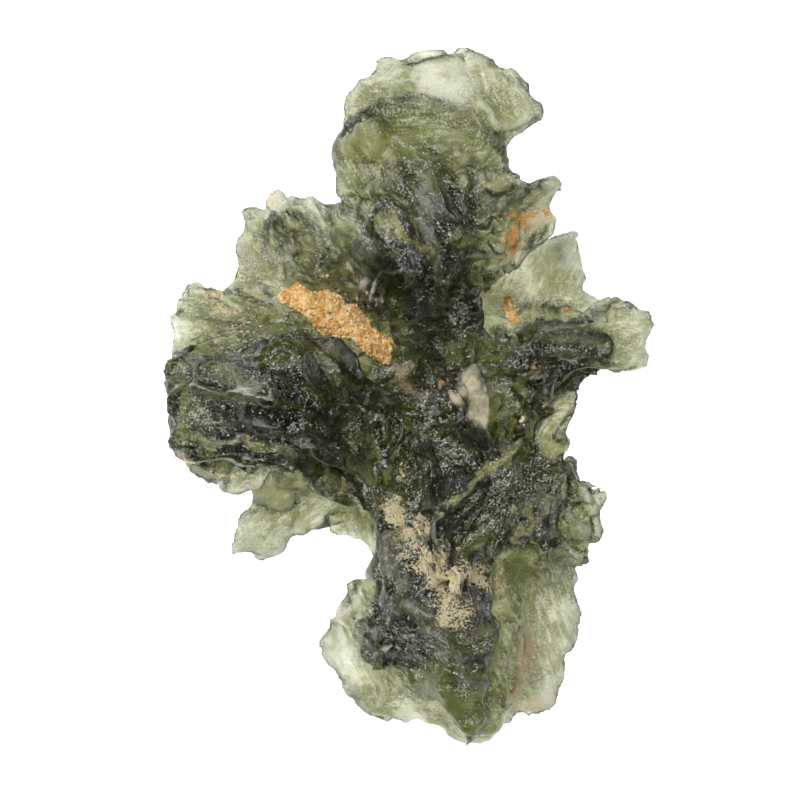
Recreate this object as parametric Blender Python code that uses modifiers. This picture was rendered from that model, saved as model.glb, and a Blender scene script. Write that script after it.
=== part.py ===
"""A deeply etched moldavite: one lump of natural glass lying on its back, with clay packed in its cleft.

The glass is one solid. Its lobes are lens-shaped sheets, thick at a hub and thin at a torn rim, fused with a
core and with keels that stand below it. Gouges are then pressed into the fused skin, which leaves the sharp
ridges between hollows that etching leaves. X runs across the stone, Y along it, and Z up from the surface
that it lies on.
"""

import math

import bmesh
import bpy
import numpy as np
from mathutils import Matrix, Vector
from mathutils.bvhtree import BVHTree

MM = 0.001
FUSE_VOXEL = 0.24 * MM  # how finely the lobes are fused
SKIN_VOXEL = 0.26 * MM  # how finely the carved skin is drawn again
STONE_TRIANGLES = 8800
RIM_POINTS = 120  # points round a lobe's outline
RINGS = 16  # rings of points from a lobe's hub to its rim
CLAY_GAP = 0.3  # mm of air between the clay and the glass

# The core: centre and half sizes, in mm.
CORE_CENTRE = (1.0, 0.0, 6.4)
CORE_SIZE = (5.0, 5.6, 4.8)

# Each lobe of the stone, in mm. outline is seen from above, and hub is its thickest place. mid is the height
# of the sheet's middle at the hub, and lean how much that rises per mm along X and Y. above and below are the
# thickness at the hub over and under the middle, rim is the thickness at the edge, and fullness how far out
# the thickness is kept: 1 is a plain cone, more is rounder.
LOBES = {
    "crown": dict(
        outline=[(-2.0, 4.0), (-3.3, 7.9), (-3.6, 9.8), (-3.4, 11.1), (-3.1, 12.5), (-3.1, 14.1), (-1.9, 14.9),
                 (0.0, 14.8), (2.3, 14.1), (3.9, 13.0), (4.3, 11.9), (5.2, 11.2), (6.1, 11.0), (6.9, 11.2),
                 (7.6, 10.5), (7.0, 9.6), (7.3, 8.5), (6.2, 7.4), (5.2, 5.9), (4.0, 3.5), (1.0, 2.7)],
        hub=(1.2, 8.2), mid=9.4, lean=(-0.05, 0.04), above=3.2, below=2.4, rim=0.7, fullness=1.9),
    "cap": dict(
        outline=[(-3.0, 11.4), (-3.4, 13.1), (-3.1, 14.8), (-2.8, 15.6), (-2.1, 16.1), (-1.4, 16.9), (-0.4, 16.9),
                 (0.7, 17.2), (1.8, 17.3), (2.8, 17.5), (3.7, 17.1), (5.4, 16.1), (6.2, 15.1), (6.7, 14.0),
                 (5.6, 13.2), (4.9, 12.7), (4.4, 11.6), (3.0, 10.0), (-0.5, 9.7)],
        hub=(1.4, 13.0), mid=9.6, lean=(0.02, 0.05), above=1.5, below=0.9, rim=0.5, fullness=2.3),
    "northwest": dict(
        outline=[(-8.7, 9.3), (-8.1, 9.8), (-6.6, 10.2), (-5.8, 10.4), (-5.0, 10.3), (-3.8, 9.4), (-2.2, 8.5),
                 (0.4, 5.8), (-1.9, 3.0), (-5.5, 3.5), (-8.8, 5.1), (-8.5, 6.5), (-8.8, 7.8), (-8.5, 8.5)],
        hub=(-4.6, 6.8), mid=6.6, lean=(0.06, -0.05), above=2.4, below=2.0, rim=0.5, fullness=1.5),
    "northwest_tip": dict(
        outline=[(-7.6, 10.0), (-7.2, 10.5), (-6.6, 10.9), (-6.0, 10.3), (-5.4, 8.6), (-5.6, 6.6), (-7.0, 7.4),
                 (-7.4, 9.0)],
        hub=(-6.3, 8.2), mid=4.4, lean=(0.0, -0.15), above=0.8, below=0.8, rim=0.4, fullness=1.5),
    "west_ridge": dict(
        outline=[(-11.7, 5.2), (-11.2, 6.0), (-10.2, 5.8), (-9.5, 5.3), (-8.9, 5.1), (-7.4, 5.0), (-5.0, 5.2),
                 (-1.5, 3.2), (-2.0, 1.0), (-7.0, 1.9), (-10.5, 2.4), (-11.8, 2.2), (-11.8, 3.2), (-12.0, 4.1)],
        hub=(-5.8, 3.6), mid=7.2, lean=(0.12, -0.05), above=2.0, below=2.2, rim=0.4, fullness=1.5),
    "west": dict(
        outline=[(-11.4, 2.6), (-12.2, 1.9), (-12.4, 0.8), (-12.3, -0.6), (-12.1, -1.8), (-12.3, -2.5),
                 (-11.6, -3.2), (-9.9, -3.9), (-8.5, -4.5), (-6.2, -4.5), (-4.2, -5.2), (-1.9, -6.1),
                 (0.0, -3.6), (0.1, 0.5), (-2.5, 3.0), (-6.5, 3.7), (-9.7, 3.2)],
        hub=(-6.2, 0.2), mid=7.8, lean=(0.04, 0.1), above=4.6, below=3.6, rim=1.5, fullness=2.1),
    "finger": dict(
        outline=[(-7.1, -3.0), (-7.7, -4.5), (-8.5, -5.7), (-8.9, -6.7), (-9.0, -7.9), (-8.1, -7.9), (-7.3, -8.2),
                 (-6.5, -7.9), (-5.5, -7.1), (-4.4, -6.6), (-3.0, -6.2), (-0.9, -5.1), (-2.5, -2.6),
                 (-5.0, -2.2)],
        hub=(-4.8, -4.8), mid=5.0, lean=(0.12, 0.1), above=1.2, below=1.0, rim=0.6, fullness=1.8),
    "curl": dict(
        outline=[(-4.1, -6.6), (-3.8, -7.0), (-2.9, -6.9), (-2.4, -7.2), (-1.7, -7.3), (-0.6, -6.7), (-0.7, -4.4),
                 (-3.6, -4.6)],
        hub=(-2.1, -5.8), mid=4.0, lean=(0.1, 0.1), above=0.6, below=0.6, rim=0.5, fullness=2.0),
    "south": dict(
        outline=[(-1.5, -5.1), (-1.9, -7.1), (-2.3, -9.3), (-3.2, -10.7), (-3.0, -12.5), (-1.6, -14.5),
                 (0.5, -15.4), (1.9, -16.8), (3.0, -17.5), (4.2, -17.1), (5.0, -15.9), (5.7, -14.6),
                 (5.8, -12.6), (6.0, -10.1), (7.5, -8.1), (6.5, -5.1), (3.0, -2.8), (0.0, -3.6)],
        hub=(1.8, -8.4), mid=8.2, lean=(-0.05, 0.1), above=4.2, below=3.6, rim=0.9, fullness=1.9),
    "apron": dict(
        outline=[(-1.9, -7.3), (-3.0, -9.0), (-3.8, -10.8), (-4.6, -12.3), (-3.8, -13.6), (-2.9, -15.1),
                 (-1.4, -16.2), (0.8, -16.2), (2.0, -16.9), (3.0, -17.4), (4.1, -17.2), (5.1, -16.2),
                 (7.0, -15.7), (7.6, -14.6), (8.0, -12.9), (8.7, -11.1), (8.3, -9.9), (8.4, -8.8),
                 (6.5, -6.6), (1.5, -5.1)],
        hub=(2.4, -11.4), mid=5.8, lean=(0.06, 0.04), above=0.9, below=0.9, rim=0.5, fullness=2.4),
    "southeast": dict(
        outline=[(9.1, -8.2), (9.6, -6.7), (9.5, -5.8), (9.8, -5.2), (9.7, -4.3), (9.4, -3.9), (8.4, -3.2),
                 (7.5, -1.7), (4.5, -0.2), (1.5, -2.1), (1.5, -5.1), (4.5, -7.9), (6.8, -9.6), (8.4, -8.8)],
        hub=(4.8, -4.6), mid=8.4, lean=(-0.08, 0.0), above=3.8, below=4.2, rim=1.2, fullness=1.9),
    "east": dict(
        outline=[(11.9, 4.5), (12.3, 3.4), (12.1, 2.7), (12.2, 1.9), (11.2, 0.8), (10.1, 0.6), (8.9, -0.1),
                 (8.2, -1.0), (8.3, -2.1), (8.7, -3.2), (7.5, -3.6), (4.0, -1.6), (3.0, 2.5), (5.0, 4.7),
                 (7.5, 5.0), (9.5, 5.2), (11.5, 4.9)],
        hub=(6.2, 1.6), mid=7.0, lean=(-0.06, 0.03), above=2.8, below=2.4, rim=0.8, fullness=1.8),
    "northeast_tip": dict(
        outline=[(8.5, 8.5), (7.3, 8.2), (6.0, 7.6), (4.6, 7.2), (2.8, 6.2), (2.2, 3.4), (7.5, 3.2), (10.1, 5.0),
                 (8.8, 5.3), (9.0, 6.1), (8.6, 7.1)],
        hub=(5.4, 4.6), mid=4.4, lean=(-0.06, -0.22), above=1.0, below=0.9, rim=0.6, fullness=1.8),
}

# Keels below the lobes, in mm: a sheet on edge, running out from the core at a compass angle. Its outline is
# given as distance out and height, and half is its half thickness at the hub.
KEELS = {
    "north_keel": dict(
        start=(0.4, 0.6), angle=84, hub=(5.0, 5.2), half=2.3, rim=1.0, fullness=1.8,
        outline=[(0.0, 9.0), (8.6, 9.4), (9.4, 6.8), (9.0, 4.2), (8.6, 1.6), (8.2, -0.7), (6.6, -0.8), (5.4, 0.9),
                 (4.2, 2.4), (2.0, 2.8), (0.0, 2.0)]),
    "northwest_keel": dict(
        start=(0.6, 0.6), angle=133, hub=(5.0, 5.0), half=2.2, rim=0.9, fullness=1.7,
        outline=[(0.0, 8.4), (7.6, 6.6), (8.4, 4.6), (7.0, 3.0), (5.6, 1.8), (4.0, 2.6), (2.2, 3.0), (0.0, 2.2)]),
    "west_keel": dict(
        start=(1.0, 0.2), angle=187, hub=(6.4, 5.2), half=2.7, rim=1.1, fullness=1.9,
        outline=[(0.0, 9.0), (11.0, 8.6), (11.6, 6.0), (10.8, 3.6), (9.8, 1.2), (9.0, -0.7), (7.2, -0.8),
                 (6.2, 1.2), (4.8, 2.8), (2.6, 2.2), (0.0, 1.8)]),
    "south_keel": dict(
        start=(0.8, -1.0), angle=266, hub=(7.2, 5.2), half=2.8, rim=1.0, fullness=1.9,
        outline=[(0.0, 9.0), (12.6, 8.0), (12.8, 5.6), (11.6, 3.4), (10.4, 1.4), (9.8, -0.7), (7.8, -0.8),
                 (6.8, 1.4), (5.0, 2.6), (2.4, 1.8), (0.0, 1.8)]),
    "southeast_keel": dict(
        start=(1.6, 0.0), angle=318, hub=(5.0, 5.0), half=2.6, rim=1.0, fullness=1.8,
        outline=[(0.0, 8.8), (8.0, 8.0), (9.0, 5.8), (8.4, 3.4), (7.4, 1.6), (5.6, 1.0), (4.0, 2.4), (2.0, 2.6),
                 (0.0, 2.0)]),
    "east_keel": dict(
        start=(2.0, 1.0), angle=12, hub=(4.4, 4.8), half=2.3, rim=0.9, fullness=1.8,
        outline=[(0.0, 8.6), (7.4, 7.4), (8.2, 5.2), (7.4, 2.8), (6.8, 1.0), (6.4, -0.7), (4.8, -0.8), (4.2, 1.2),
                 (2.8, 2.6), (1.4, 2.8), (0.0, 2.0)]),
}

# The spike that stands up in the middle: a leaning sheet whose crest runs along Y.
SPIKE = dict(
    outline=[(0.9, -0.5), (1.1, 0.3), (2.1, 1.1), (2.9, 1.9), (3.6, 1.8), (4.1, -0.2), (3.8, -2.0), (3.1, -1.7),
             (1.6, -1.0)],
    hub=(3.4, 0.2), mid=11.9, lean=(0.9, 0.1), above=0.5, below=3.4, rim=0.5, fullness=1.2)

# Gouges, in mm: a round-bottomed groove or hollow along a path seen from above, with the radius of its round
# and how deep it goes below the skin at the path.
TOP_GOUGES = {
    "crown_left_flute": ([(-1.3, 8.6), (-0.7, 7.2), (0.5, 5.4)], 1.13, 1.1),
    "crown_valley": ([(-0.6, 12.0), (0.7, 9.7), (1.5, 7.5), (1.9, 5.7)], 1.3, 1),
    "crown_right_hollow": ([(1.8, 10.4), (4.1, 9.6)], 1.7, 0.6),
    "pit_under_crown": ([(3.0, 5.5), (4.4, 5.7)], 0.97, 1.5),
    "cap_dish": ([(0.8, 15.5), (2.6, 15.4)], 3, 0.6),
    "cap_left_facet": ([(-2.3, 15.0)], 1.6, 0.3),
    "cap_right_facet": ([(4.4, 15.8), (5.2, 14.4)], 1.8, 0.4),
    "cap_step": ([(-0.4, 13.7), (2.8, 13.2)], 1.3, 1),
    "crown_left_scallop": ([(-2.4, 12.5), (-1.9, 11.0)], 1.1, 0.5),
    "crown_left_pit": ([(-1.5, 9.7)], 0.8, 0.5),
    "cleft": ([(-7.4, 4.9), (-5.5, 4.7), (-3.2, 3.6), (-1.1, 2.2), (0.8, 0.4)], 1.4, 2.1),
    "slot": ([(-2.9, 5.9), (-1.9, 5.6), (-0.6, 5.1)], 0.6, 1.5),
    "west_upper_flute": ([(-11.3, -0.5), (-8.0, -1.1), (-3.7, -1.7)], 1.03, 1.1),
    "west_lower_flute": ([(-11.2, -2.1), (-8.0, -2.4), (-4.4, -3.4)], 0.97, 1.1),
    "west_bowl": ([(-10.3, 1.2)], 1.5, 0.5),
    "west_bend": ([(-6.2, 2.5), (-5.5, 0.2), (-3.2, -0.6)], 1.08, 1.3),
    "west_inner_flute": ([(-4.0, 2.6), (-2.1, 0.1), (-1.2, -2.1)], 1.08, 1.3),
    "west_hollow": ([(-4.2, -1.2)], 1.3, 1.3),
    "west_foot_hollow": ([(-3.7, -3.7)], 1.19, 1),
    "middle_flute": ([(-0.3, -0.7), (-0.2, -3.1), (-0.5, -5.3)], 0.97, 1.4),
    "middle_left_flute": ([(-2.3, -1.1), (-1.9, -3.6), (-2.9, -5.6)], 0.97, 1),
    "spike_pit": ([(1.1, -1.5), (2.8, -1.7), (4.1, -2.4)], 1.4, 1.8),
    "southeast_flute": ([(2.8, -6.5), (4.0, -4.8), (5.5, -3.4), (6.8, -2.6)], 1.4, 1.5),
    "southeast_shallow": ([(6.1, -6.2), (6.5, -4.0), (7.0, -2.1)], 1.19, 1),
    "overhang": ([(4.3, -8.1), (6.2, -8.8)], 1.08, 1.7),
    "south_valley": ([(-1.2, -7.3), (-0.2, -9.6), (1.5, -11.2), (3.6, -11.9)], 1.73, 1.1),
    "south_pit_a": ([(-0.3, -11.6), (0.5, -12.6)], 0.9, 0.6),
    "south_window": ([(-0.7, -14.2)], 1.62, 1),
    "south_toe": ([(1.5, -14.1), (2.9, -16.0)], 1.3, 0.5),
    "south_pit_b": ([(4.1, -12.7)], 0.9, 0.5),
    "south_pit_c": ([(4.8, -15.1)], 1, 0.5),
    "bubble": ([(6.7, -12.8)], 2, 0.35),
    "east_edge": ([(6.8, 4.4), (11.0, 4.5)], 0.8, 0.4),
    "east_dish": ([(7.6, 2.7), (10.6, 2.7)], 1.62, 1),
    "east_lower": ([(8.1, 0.4), (10.1, 1.7)], 1, 0.5),
    "centre_flute": ([(1.0, 3.0), (3.0, 2.5), (4.6, 2.8)], 1.4, 1.1),
    "centre_hollow": ([(2.0, 4.5)], 1, 0.6),
    "east_root": ([(5.5, 3.6), (6.0, 1.0)], 0.97, 1),
    "east_root_low": ([(4.8, 0.9), (5.5, -1.6)], 1.08, 1.1),
    "northwest_face": ([(-5.4, 9.2), (-4.0, 7.4)], 2.2, 0.5),
    "northwest_cheek": ([(-7.8, 8.2), (-7.5, 5.6)], 1.51, 1.3),
    "northwest_step": ([(-5.5, 6.9), (-3.5, 6.2)], 0.9, 0.6),
    "ridge_window": ([(-10.7, 4.5)], 0.9, 0.5),
    "ridge_pits": ([(-9.2, 4.2), (-8.0, 4.0)], 0.7, 0.4),
}
UNDER_GOUGES = {
    "under_northwest": ([(-6.5, 7.5), (-3.0, 4.6), (-0.6, 2.6)], 1.62, 1.7),
    "under_northeast": ([(6.5, 6.0), (4.2, 3.4), (2.4, 2.0)], 1.51, 1.5),
    "under_southwest": ([(-6.5, -6.0), (-3.4, -4.0), (-0.4, -2.0)], 1.51, 1.5),
    "under_southeast": ([(8.0, -6.5), (5.2, -4.4), (2.8, -2.0)], 1.62, 1.7),
    "under_west_flute": ([(-11.0, 2.0), (-7.0, 1.8), (-3.0, 1.6)], 1.08, 1.1),
    "under_south_flute": ([(4.6, -15.0), (4.4, -11.0), (3.4, -6.0)], 1.3, 1.1),
    "under_crown_flute": ([(4.0, 12.0), (3.4, 8.0), (2.4, 4.0)], 1.3, 1.1),
}

# Clay packed on the glass, in mm: its outline from above, and how thick it is over the level of the hollow
# that it fills, at its middle and at its rim.
CLAY = {
    "cleft_clay": dict(
        outline=[(-6.5, 4.95), (-6.2, 5.5), (-5.6, 5.75), (-4.9, 5.4), (-4.1, 5.4), (-3.4, 5.05), (-2.6, 4.5),
                 (-1.8, 3.5), (-0.9, 3.0), (-0.7, 2.35), (-1.2, 1.85), (-2.0, 2.2), (-2.7, 2.75), (-3.7, 3.1),
                 (-4.6, 3.35), (-5.1, 4.1), (-5.9, 4.6)],
        hub=(-3.7, 4.1), thick=0.9, rim=0.25, around=36, rings=4),
    "seam_clay": dict(
        outline=[(4.8, 5.15), (5.05, 5.2), (5.25, 4.75), (5.4, 4.25), (5.6, 3.85), (5.2, 3.75), (4.9, 4.05),
                 (4.7, 4.55)],
        hub=(5.1, 4.4), thick=0.5, rim=0.2, around=16, rings=2),
}
CLAY_LUMP = 0.1  # mm that the clay's upper side wanders by

# Small scoops all over the skin: how many lines are tried, the range of a scoop's radius in mm, and of its
# depth as a share of that.
SCOOP_LINES = 420
SCOOP_RADIUS = (0.8, 2.2)
SCOOP_DEPTH = (0.15, 0.4)
SCOOP_STRETCH = 2.2  # the most that a scoop is longer than it is wide
GROWTH = 0.12  # mm that the skin stands out before it is etched, which its redrawing takes away again
THICKEST = 12  # mm: glass thicker than this counts as this thick
RIM_CARE = 1.6  # less spares more of the rims, where little glass is close by but much is straight behind
DEEPEST = 0.3  # the most that a gouge or scoop takes, as a share of the glass's thickness there
BALL_STEP = 0.35  # the step along a groove, in its own radii
FAR_OFF = 50  # mm: a line that looks for the skin starts this far out
SEED = 7


def mm(point):
    return Vector(point) * MM


def round_curve(outline, count):
    """count points, evenly spaced, on a Catmull-Rom curve through a closed outline."""
    knots = np.array(outline, float)
    before, after, beyond = np.roll(knots, 1, 0), np.roll(knots, -1, 0), np.roll(knots, -2, 0)
    share = np.linspace(0, 1, 12, endpoint=False)[:, None, None]
    fine = 0.5 * (2 * knots + (after - before) * share
                  + (2 * before - 5 * knots + 4 * after - beyond) * share ** 2
                  + (3 * knots - before - 3 * after + beyond) * share ** 3)
    fine = fine.transpose(1, 0, 2).reshape(-1, 2)
    closed = np.vstack([fine, fine[:1]])
    along = np.concatenate([[0], np.cumsum(np.linalg.norm(np.diff(closed, axis=0), axis=1))])
    wanted = np.linspace(0, along[-1], count, endpoint=False)
    return np.stack([np.interp(wanted, along, closed[:, axis]) for axis in (0, 1)], 1)


def closed_rings(name, flat, upper, lower, around):
    """A closed mesh of an upper and a lower side over the same places. The places are rings of around points
    each, from the inside out, and then the middle."""
    side, last = len(flat), len(flat) - 1 - around
    middle = side - 1
    faces = []
    for i in range(around):
        j = (i + 1) % around
        faces += [(middle, i, j), (side + middle, side + j, side + i)]
        for inner in range(0, last, around):
            a, b, c, d = inner + i, inner + around + i, inner + around + j, inner + j
            faces += [(a, b, c, d), (side + d, side + c, side + b, side + a)]
        faces.append((last + i, side + last + i, side + last + j, last + j))
    points = np.vstack([np.column_stack([flat, upper]), np.column_stack([flat, lower])])
    mesh = bpy.data.meshes.new(name)
    mesh.from_pydata((points * MM).tolist(), [], faces)
    fresh = bmesh.new()
    fresh.from_mesh(mesh)
    bmesh.ops.recalc_face_normals(fresh, faces=fresh.faces)
    fresh.to_mesh(mesh)
    fresh.free()
    return mesh


def sheet_mesh(name, outline, hub, above, below, rim, fullness, lean=(0, 0)):
    """A closed lens over an outline, whose middle has height 0 at the hub and rises by lean."""
    edge, hub = round_curve(outline, RIM_POINTS), np.array(hub, float)
    reach = (np.arange(1, RINGS + 1) / RINGS)[:, None, None]
    flat = np.vstack([(hub + reach * (edge - hub)).reshape(-1, 2), [hub]])
    dome = 1 - np.append(np.repeat(reach.ravel(), RIM_POINTS), 0) ** fullness
    middle = (flat - hub) @ np.array(lean, float)
    upper = middle + rim / 2 + (above - rim / 2) * dome
    lower = middle - rim / 2 - (below - rim / 2) * dome
    return closed_rings(name, flat, upper, lower, RIM_POINTS)


def add_object(name, mesh, collection):
    made = bpy.data.objects.new(name, mesh)
    collection.objects.link(made)
    return made


def lobe(name, shape, collection):
    """A sheet lying over its outline, at the height of its middle."""
    shape = dict(shape)
    height = shape.pop("mid")
    made = add_object(name, sheet_mesh(name, **shape), collection)
    made.location = mm((0, 0, height))
    return made


def keel(name, shape, collection):
    """A sheet on edge: its outline's first axis runs out from start, and its second one is height."""
    half = shape["half"]
    mesh = sheet_mesh(name, shape["outline"], shape["hub"], half, half, shape["rim"], shape["fullness"])
    made = add_object(name, mesh, collection)
    made.location = mm((*shape["start"], 0))
    made.rotation_euler = (math.pi / 2, 0, math.radians(shape["angle"]))
    return made


def core(collection):
    bpy.ops.mesh.primitive_uv_sphere_add(segments=48, ring_count=24, radius=MM, location=mm(CORE_CENTRE))
    made = bpy.context.object
    made.name = "core"
    made.scale = CORE_SIZE
    for owner in list(made.users_collection):
        owner.objects.unlink(made)
    collection.objects.link(made)
    return made


def join(pieces, name, collection):
    """One object with the shapes of all the pieces, which are removed."""
    bpy.context.view_layer.update()
    whole = bmesh.new()
    for piece in pieces:
        placed = piece.data.copy()
        placed.transform(piece.matrix_world)
        whole.from_mesh(placed)
        bpy.data.meshes.remove(placed)
        bpy.data.objects.remove(piece)
    mesh = bpy.data.meshes.new(name)
    whole.to_mesh(mesh)
    whole.free()
    return add_object(name, mesh, collection)


def apply_modifiers(piece):
    """Puts the piece's modifiers into its mesh."""
    evaluated = piece.evaluated_get(bpy.context.evaluated_depsgraph_get())
    mesh = bpy.data.meshes.new_from_object(evaluated)
    piece.modifiers.clear()
    piece.data = mesh


def redraw(piece, voxel):
    """Draws the piece's skin again as one closed surface of even quads."""
    remesh = piece.modifiers.new("redraw", "REMESH")
    remesh.mode = "VOXEL"
    remesh.voxel_size = voxel
    apply_modifiers(piece)


def depth_behind(tree, point, inward):
    """How thick the glass is behind a point of the skin."""
    hit = tree.ray_cast(point + inward * 0.01 * MM, inward)[3]
    return THICKEST * MM if hit is None else min(hit, THICKEST * MM)


def spread(values, edges, rounds, mix):
    """Passes values from point to neighbouring point, combined by the function mix."""
    for _ in range(rounds):
        values = mix(values, edges)
    return values


def least_of_neighbours(values, edges):
    least = values.copy()
    np.minimum.at(least, edges[:, 0], values[edges[:, 1]])
    np.minimum.at(least, edges[:, 1], values[edges[:, 0]])
    return least


def mean_of_neighbours(values, edges):
    total, count = values.copy(), np.ones(len(values))
    np.add.at(total, edges[:, 0], values[edges[:, 1]])
    np.add.at(total, edges[:, 1], values[edges[:, 0]])
    np.add.at(count, edges.ravel(), 1)
    return (total.T / count).T


class Skin:
    """The skin of a piece: its points, which way is out at each, and how much glass is behind each."""

    def __init__(self, piece):
        bpy.context.view_layer.update()
        self.tree = BVHTree.FromObject(piece, bpy.context.evaluated_depsgraph_get())
        mesh = piece.data
        self.points = np.array([point.co for point in mesh.vertices])
        self.first_points = np.array([face.vertices[0] for face in mesh.polygons])
        edges = np.array([edge.vertices[:] for edge in mesh.edges])
        normals = spread(np.array([point.normal for point in mesh.vertices]), edges, 3, mean_of_neighbours)
        self.normals = normals / np.maximum(np.linalg.norm(normals, axis=1), 1e-9)[:, None]
        behind = np.array([depth_behind(self.tree, Vector(point), -Vector(normal))
                           for point, normal in zip(self.points, self.normals)])
        least = spread(spread(behind, edges, 4, least_of_neighbours), edges, 3, mean_of_neighbours)
        self.most = DEEPEST * least * np.minimum(1, RIM_CARE * least / behind)
        self.sunk = np.zeros(len(self.points))

    def press(self, centre, along, sizes):
        """Sinks the points that lie in an egg until they are out of it, straight in from the skin. sizes are
        its half lengths, the first one along the direction along."""
        near = np.flatnonzero((np.abs(self.points - centre) < max(sizes)).all(1))
        if not len(near):
            return
        side = np.cross(along, (0.31, 0.42, 0.85))
        side /= np.linalg.norm(side)
        axes = np.array([along, side, np.cross(along, side)]) / np.array(sizes)[:, None]
        offset = (self.points[near] - centre) @ axes.T
        inward = -self.normals[near] @ axes.T
        square = (inward ** 2).sum(1)
        half = (offset * inward).sum(1)
        beyond = half ** 2 - square * ((offset ** 2).sum(1) - 1)
        leave = (np.sqrt(np.maximum(beyond, 0)) - half) / square
        within = ((offset ** 2).sum(1) < 1) & (beyond > 0)
        self.sunk[near[within]] = np.maximum(self.sunk[near[within]], leave[within])

    def press_gouges(self, gouges, direction):
        """Presses named grooves into the side that a line in direction meets first."""
        inward = Vector((0, 0, direction))
        for path, radius, depth in gouges.values():
            corners = [mm((*point, 0)) for point in path]
            places = corners[:1]
            for start, end in zip(corners, corners[1:]):
                steps = max(1, math.ceil((end - start).length / (BALL_STEP * radius * MM)))
                places += [start.lerp(end, step / steps) for step in range(1, steps + 1)]
            for place in places:
                hit = self.tree.ray_cast(place - inward * FAR_OFF * MM, inward)[0]
                if hit is not None:
                    self.press(hit - inward * (radius - depth) * MM, (1, 0, 0), [radius * MM] * 3)

    def press_scoops(self):
        """Presses small scoops in where lines from all around meet the skin, drawn out from core to rim."""
        rng = np.random.default_rng(SEED)
        low, high = self.points.min(0), self.points.max(0)
        for _ in range(SCOOP_LINES):
            aim, inward = rng.uniform(low, high), rng.normal(size=3)
            inward /= np.linalg.norm(inward)
            radius = rng.uniform(*SCOOP_RADIUS) * MM
            depth = radius * rng.uniform(*SCOOP_DEPTH)
            stretch = rng.uniform(1, SCOOP_STRETCH)
            hit, _, face, _ = self.tree.ray_cast(Vector(aim - inward * FAR_OFF * MM), Vector(inward))
            if hit is None:
                continue
            normal = self.normals[self.first_points[face]]
            outward = np.array(hit) - np.array(CORE_CENTRE) * MM
            flow = outward - normal * (outward @ normal)
            flow /= max(np.linalg.norm(flow), 1e-9)
            self.press(np.array(hit) + normal * (radius - depth), flow, (radius * stretch, radius, radius))

    def pressed_points(self):
        """The points, sunk as far as they were pressed, but never through what is behind them."""
        depth = np.minimum(self.sunk, self.most)
        return self.points + self.normals * (GROWTH * MM - depth)[:, None]


def etch(piece):
    """Presses the gouges and scoops into the piece."""
    skin = Skin(piece)
    skin.press_gouges(TOP_GOUGES, -1)
    skin.press_gouges(UNDER_GOUGES, 1)
    skin.press_scoops()
    piece.data.vertices.foreach_set("co", skin.pressed_points().astype(np.float32).ravel())
    piece.data.update()


def subtract(piece, cutter):
    cutter.hide_render = True
    cutter.display_type = "WIRE"
    cut = piece.modifiers.new("cut", "BOOLEAN")
    cut.operation = "DIFFERENCE"
    cut.object = cutter
    apply_modifiers(piece)


def smooth(piece, rounds):
    """Evens the skin out by moving each point part of the way to the middle of its neighbours."""
    smoothing = piece.modifiers.new("smooth", "SMOOTH")
    smoothing.factor = 0.5
    smoothing.iterations = rounds
    apply_modifiers(piece)


def thin_out(piece, triangles):
    """Cuts the piece down to about this many triangles."""
    decimate = piece.modifiers.new("thin", "DECIMATE")
    decimate.ratio = triangles / sum(len(face.vertices) - 2 for face in piece.data.polygons)
    apply_modifiers(piece)


def wear_feet(piece, cutters):
    """Cuts the keels' tips off level with the surface that the stone lies on."""
    bpy.ops.mesh.primitive_cube_add(size=60 * MM, location=(0, 0, -30 * MM))
    ground = bpy.context.object
    ground.name = "ground"
    for owner in list(ground.users_collection):
        owner.objects.unlink(ground)
    cutters.objects.link(ground)
    subtract(piece, ground)


def stone(collection, cutters):
    lobes = [lobe(name, shape, collection) for name, shape in LOBES.items()]
    lobes.append(lobe("spike", SPIKE, collection))
    lobes += [keel(name, shape, collection) for name, shape in KEELS.items()]
    lobes.append(core(collection))
    made = join(lobes, "stone", collection)
    redraw(made, FUSE_VOXEL)
    etch(made)
    redraw(made, SKIN_VOXEL)
    smooth(made, 1)
    thin_out(made, STONE_TRIANGLES)
    wear_feet(made, cutters)
    return made


def level_of(places, heights):
    """The heights of the level surface that best fits heights at places."""
    table = np.column_stack([places, np.ones(len(places))])
    slope = np.linalg.lstsq(table, heights, rcond=None)[0]
    return table @ slope


def clay(name, shape, glass, collection):
    """A crust that follows the glass below it at a small gap and fills it up above."""
    rng = np.random.default_rng(SEED)
    edge, hub = round_curve(shape["outline"], shape["around"]), np.array(shape["hub"])
    reach = (np.arange(1, shape["rings"] + 1) / shape["rings"])[:, None, None]
    flat = np.vstack([(hub + reach * (edge - hub)).reshape(-1, 2), [hub]])
    tree = BVHTree.FromObject(glass, bpy.context.evaluated_depsgraph_get())
    nearby = [(0, 0), (0.35, 0), (-0.35, 0), (0, 0.35), (0, -0.35), (0.25, 0.25), (-0.25, -0.25), (0.25, -0.25),
              (-0.25, 0.25)]
    ground = []
    for x, y in flat:
        hits = [tree.ray_cast(mm((x + aside, y + along, 40)), Vector((0, 0, -1)))[0] for aside, along in nearby]
        ground.append(max(hit.z for hit in hits if hit is not None) / MM)
    lower = np.array(ground) + CLAY_GAP
    dome = 1 - np.append(np.repeat(reach.ravel(), shape["around"]), 0) ** 3
    full = level_of(flat, lower) + shape["thick"] * dome + rng.uniform(-CLAY_LUMP, CLAY_LUMP, len(flat))
    upper = np.maximum(full, lower + shape["rim"])
    return add_object(name, closed_rings(name, flat, upper, lower, shape["around"]), collection)


def stand_on_origin(pieces):
    """Moves the pieces so that the middle of their box's underside is the origin."""
    points = np.array([point.co for piece in pieces for point in piece.data.vertices])
    low, high = points.min(0), points.max(0)
    shift = Vector((-(low[0] + high[0]) / 2, -(low[1] + high[1]) / 2, -low[2]))
    for piece in pieces:
        piece.data.transform(Matrix.Translation(shift))


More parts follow.
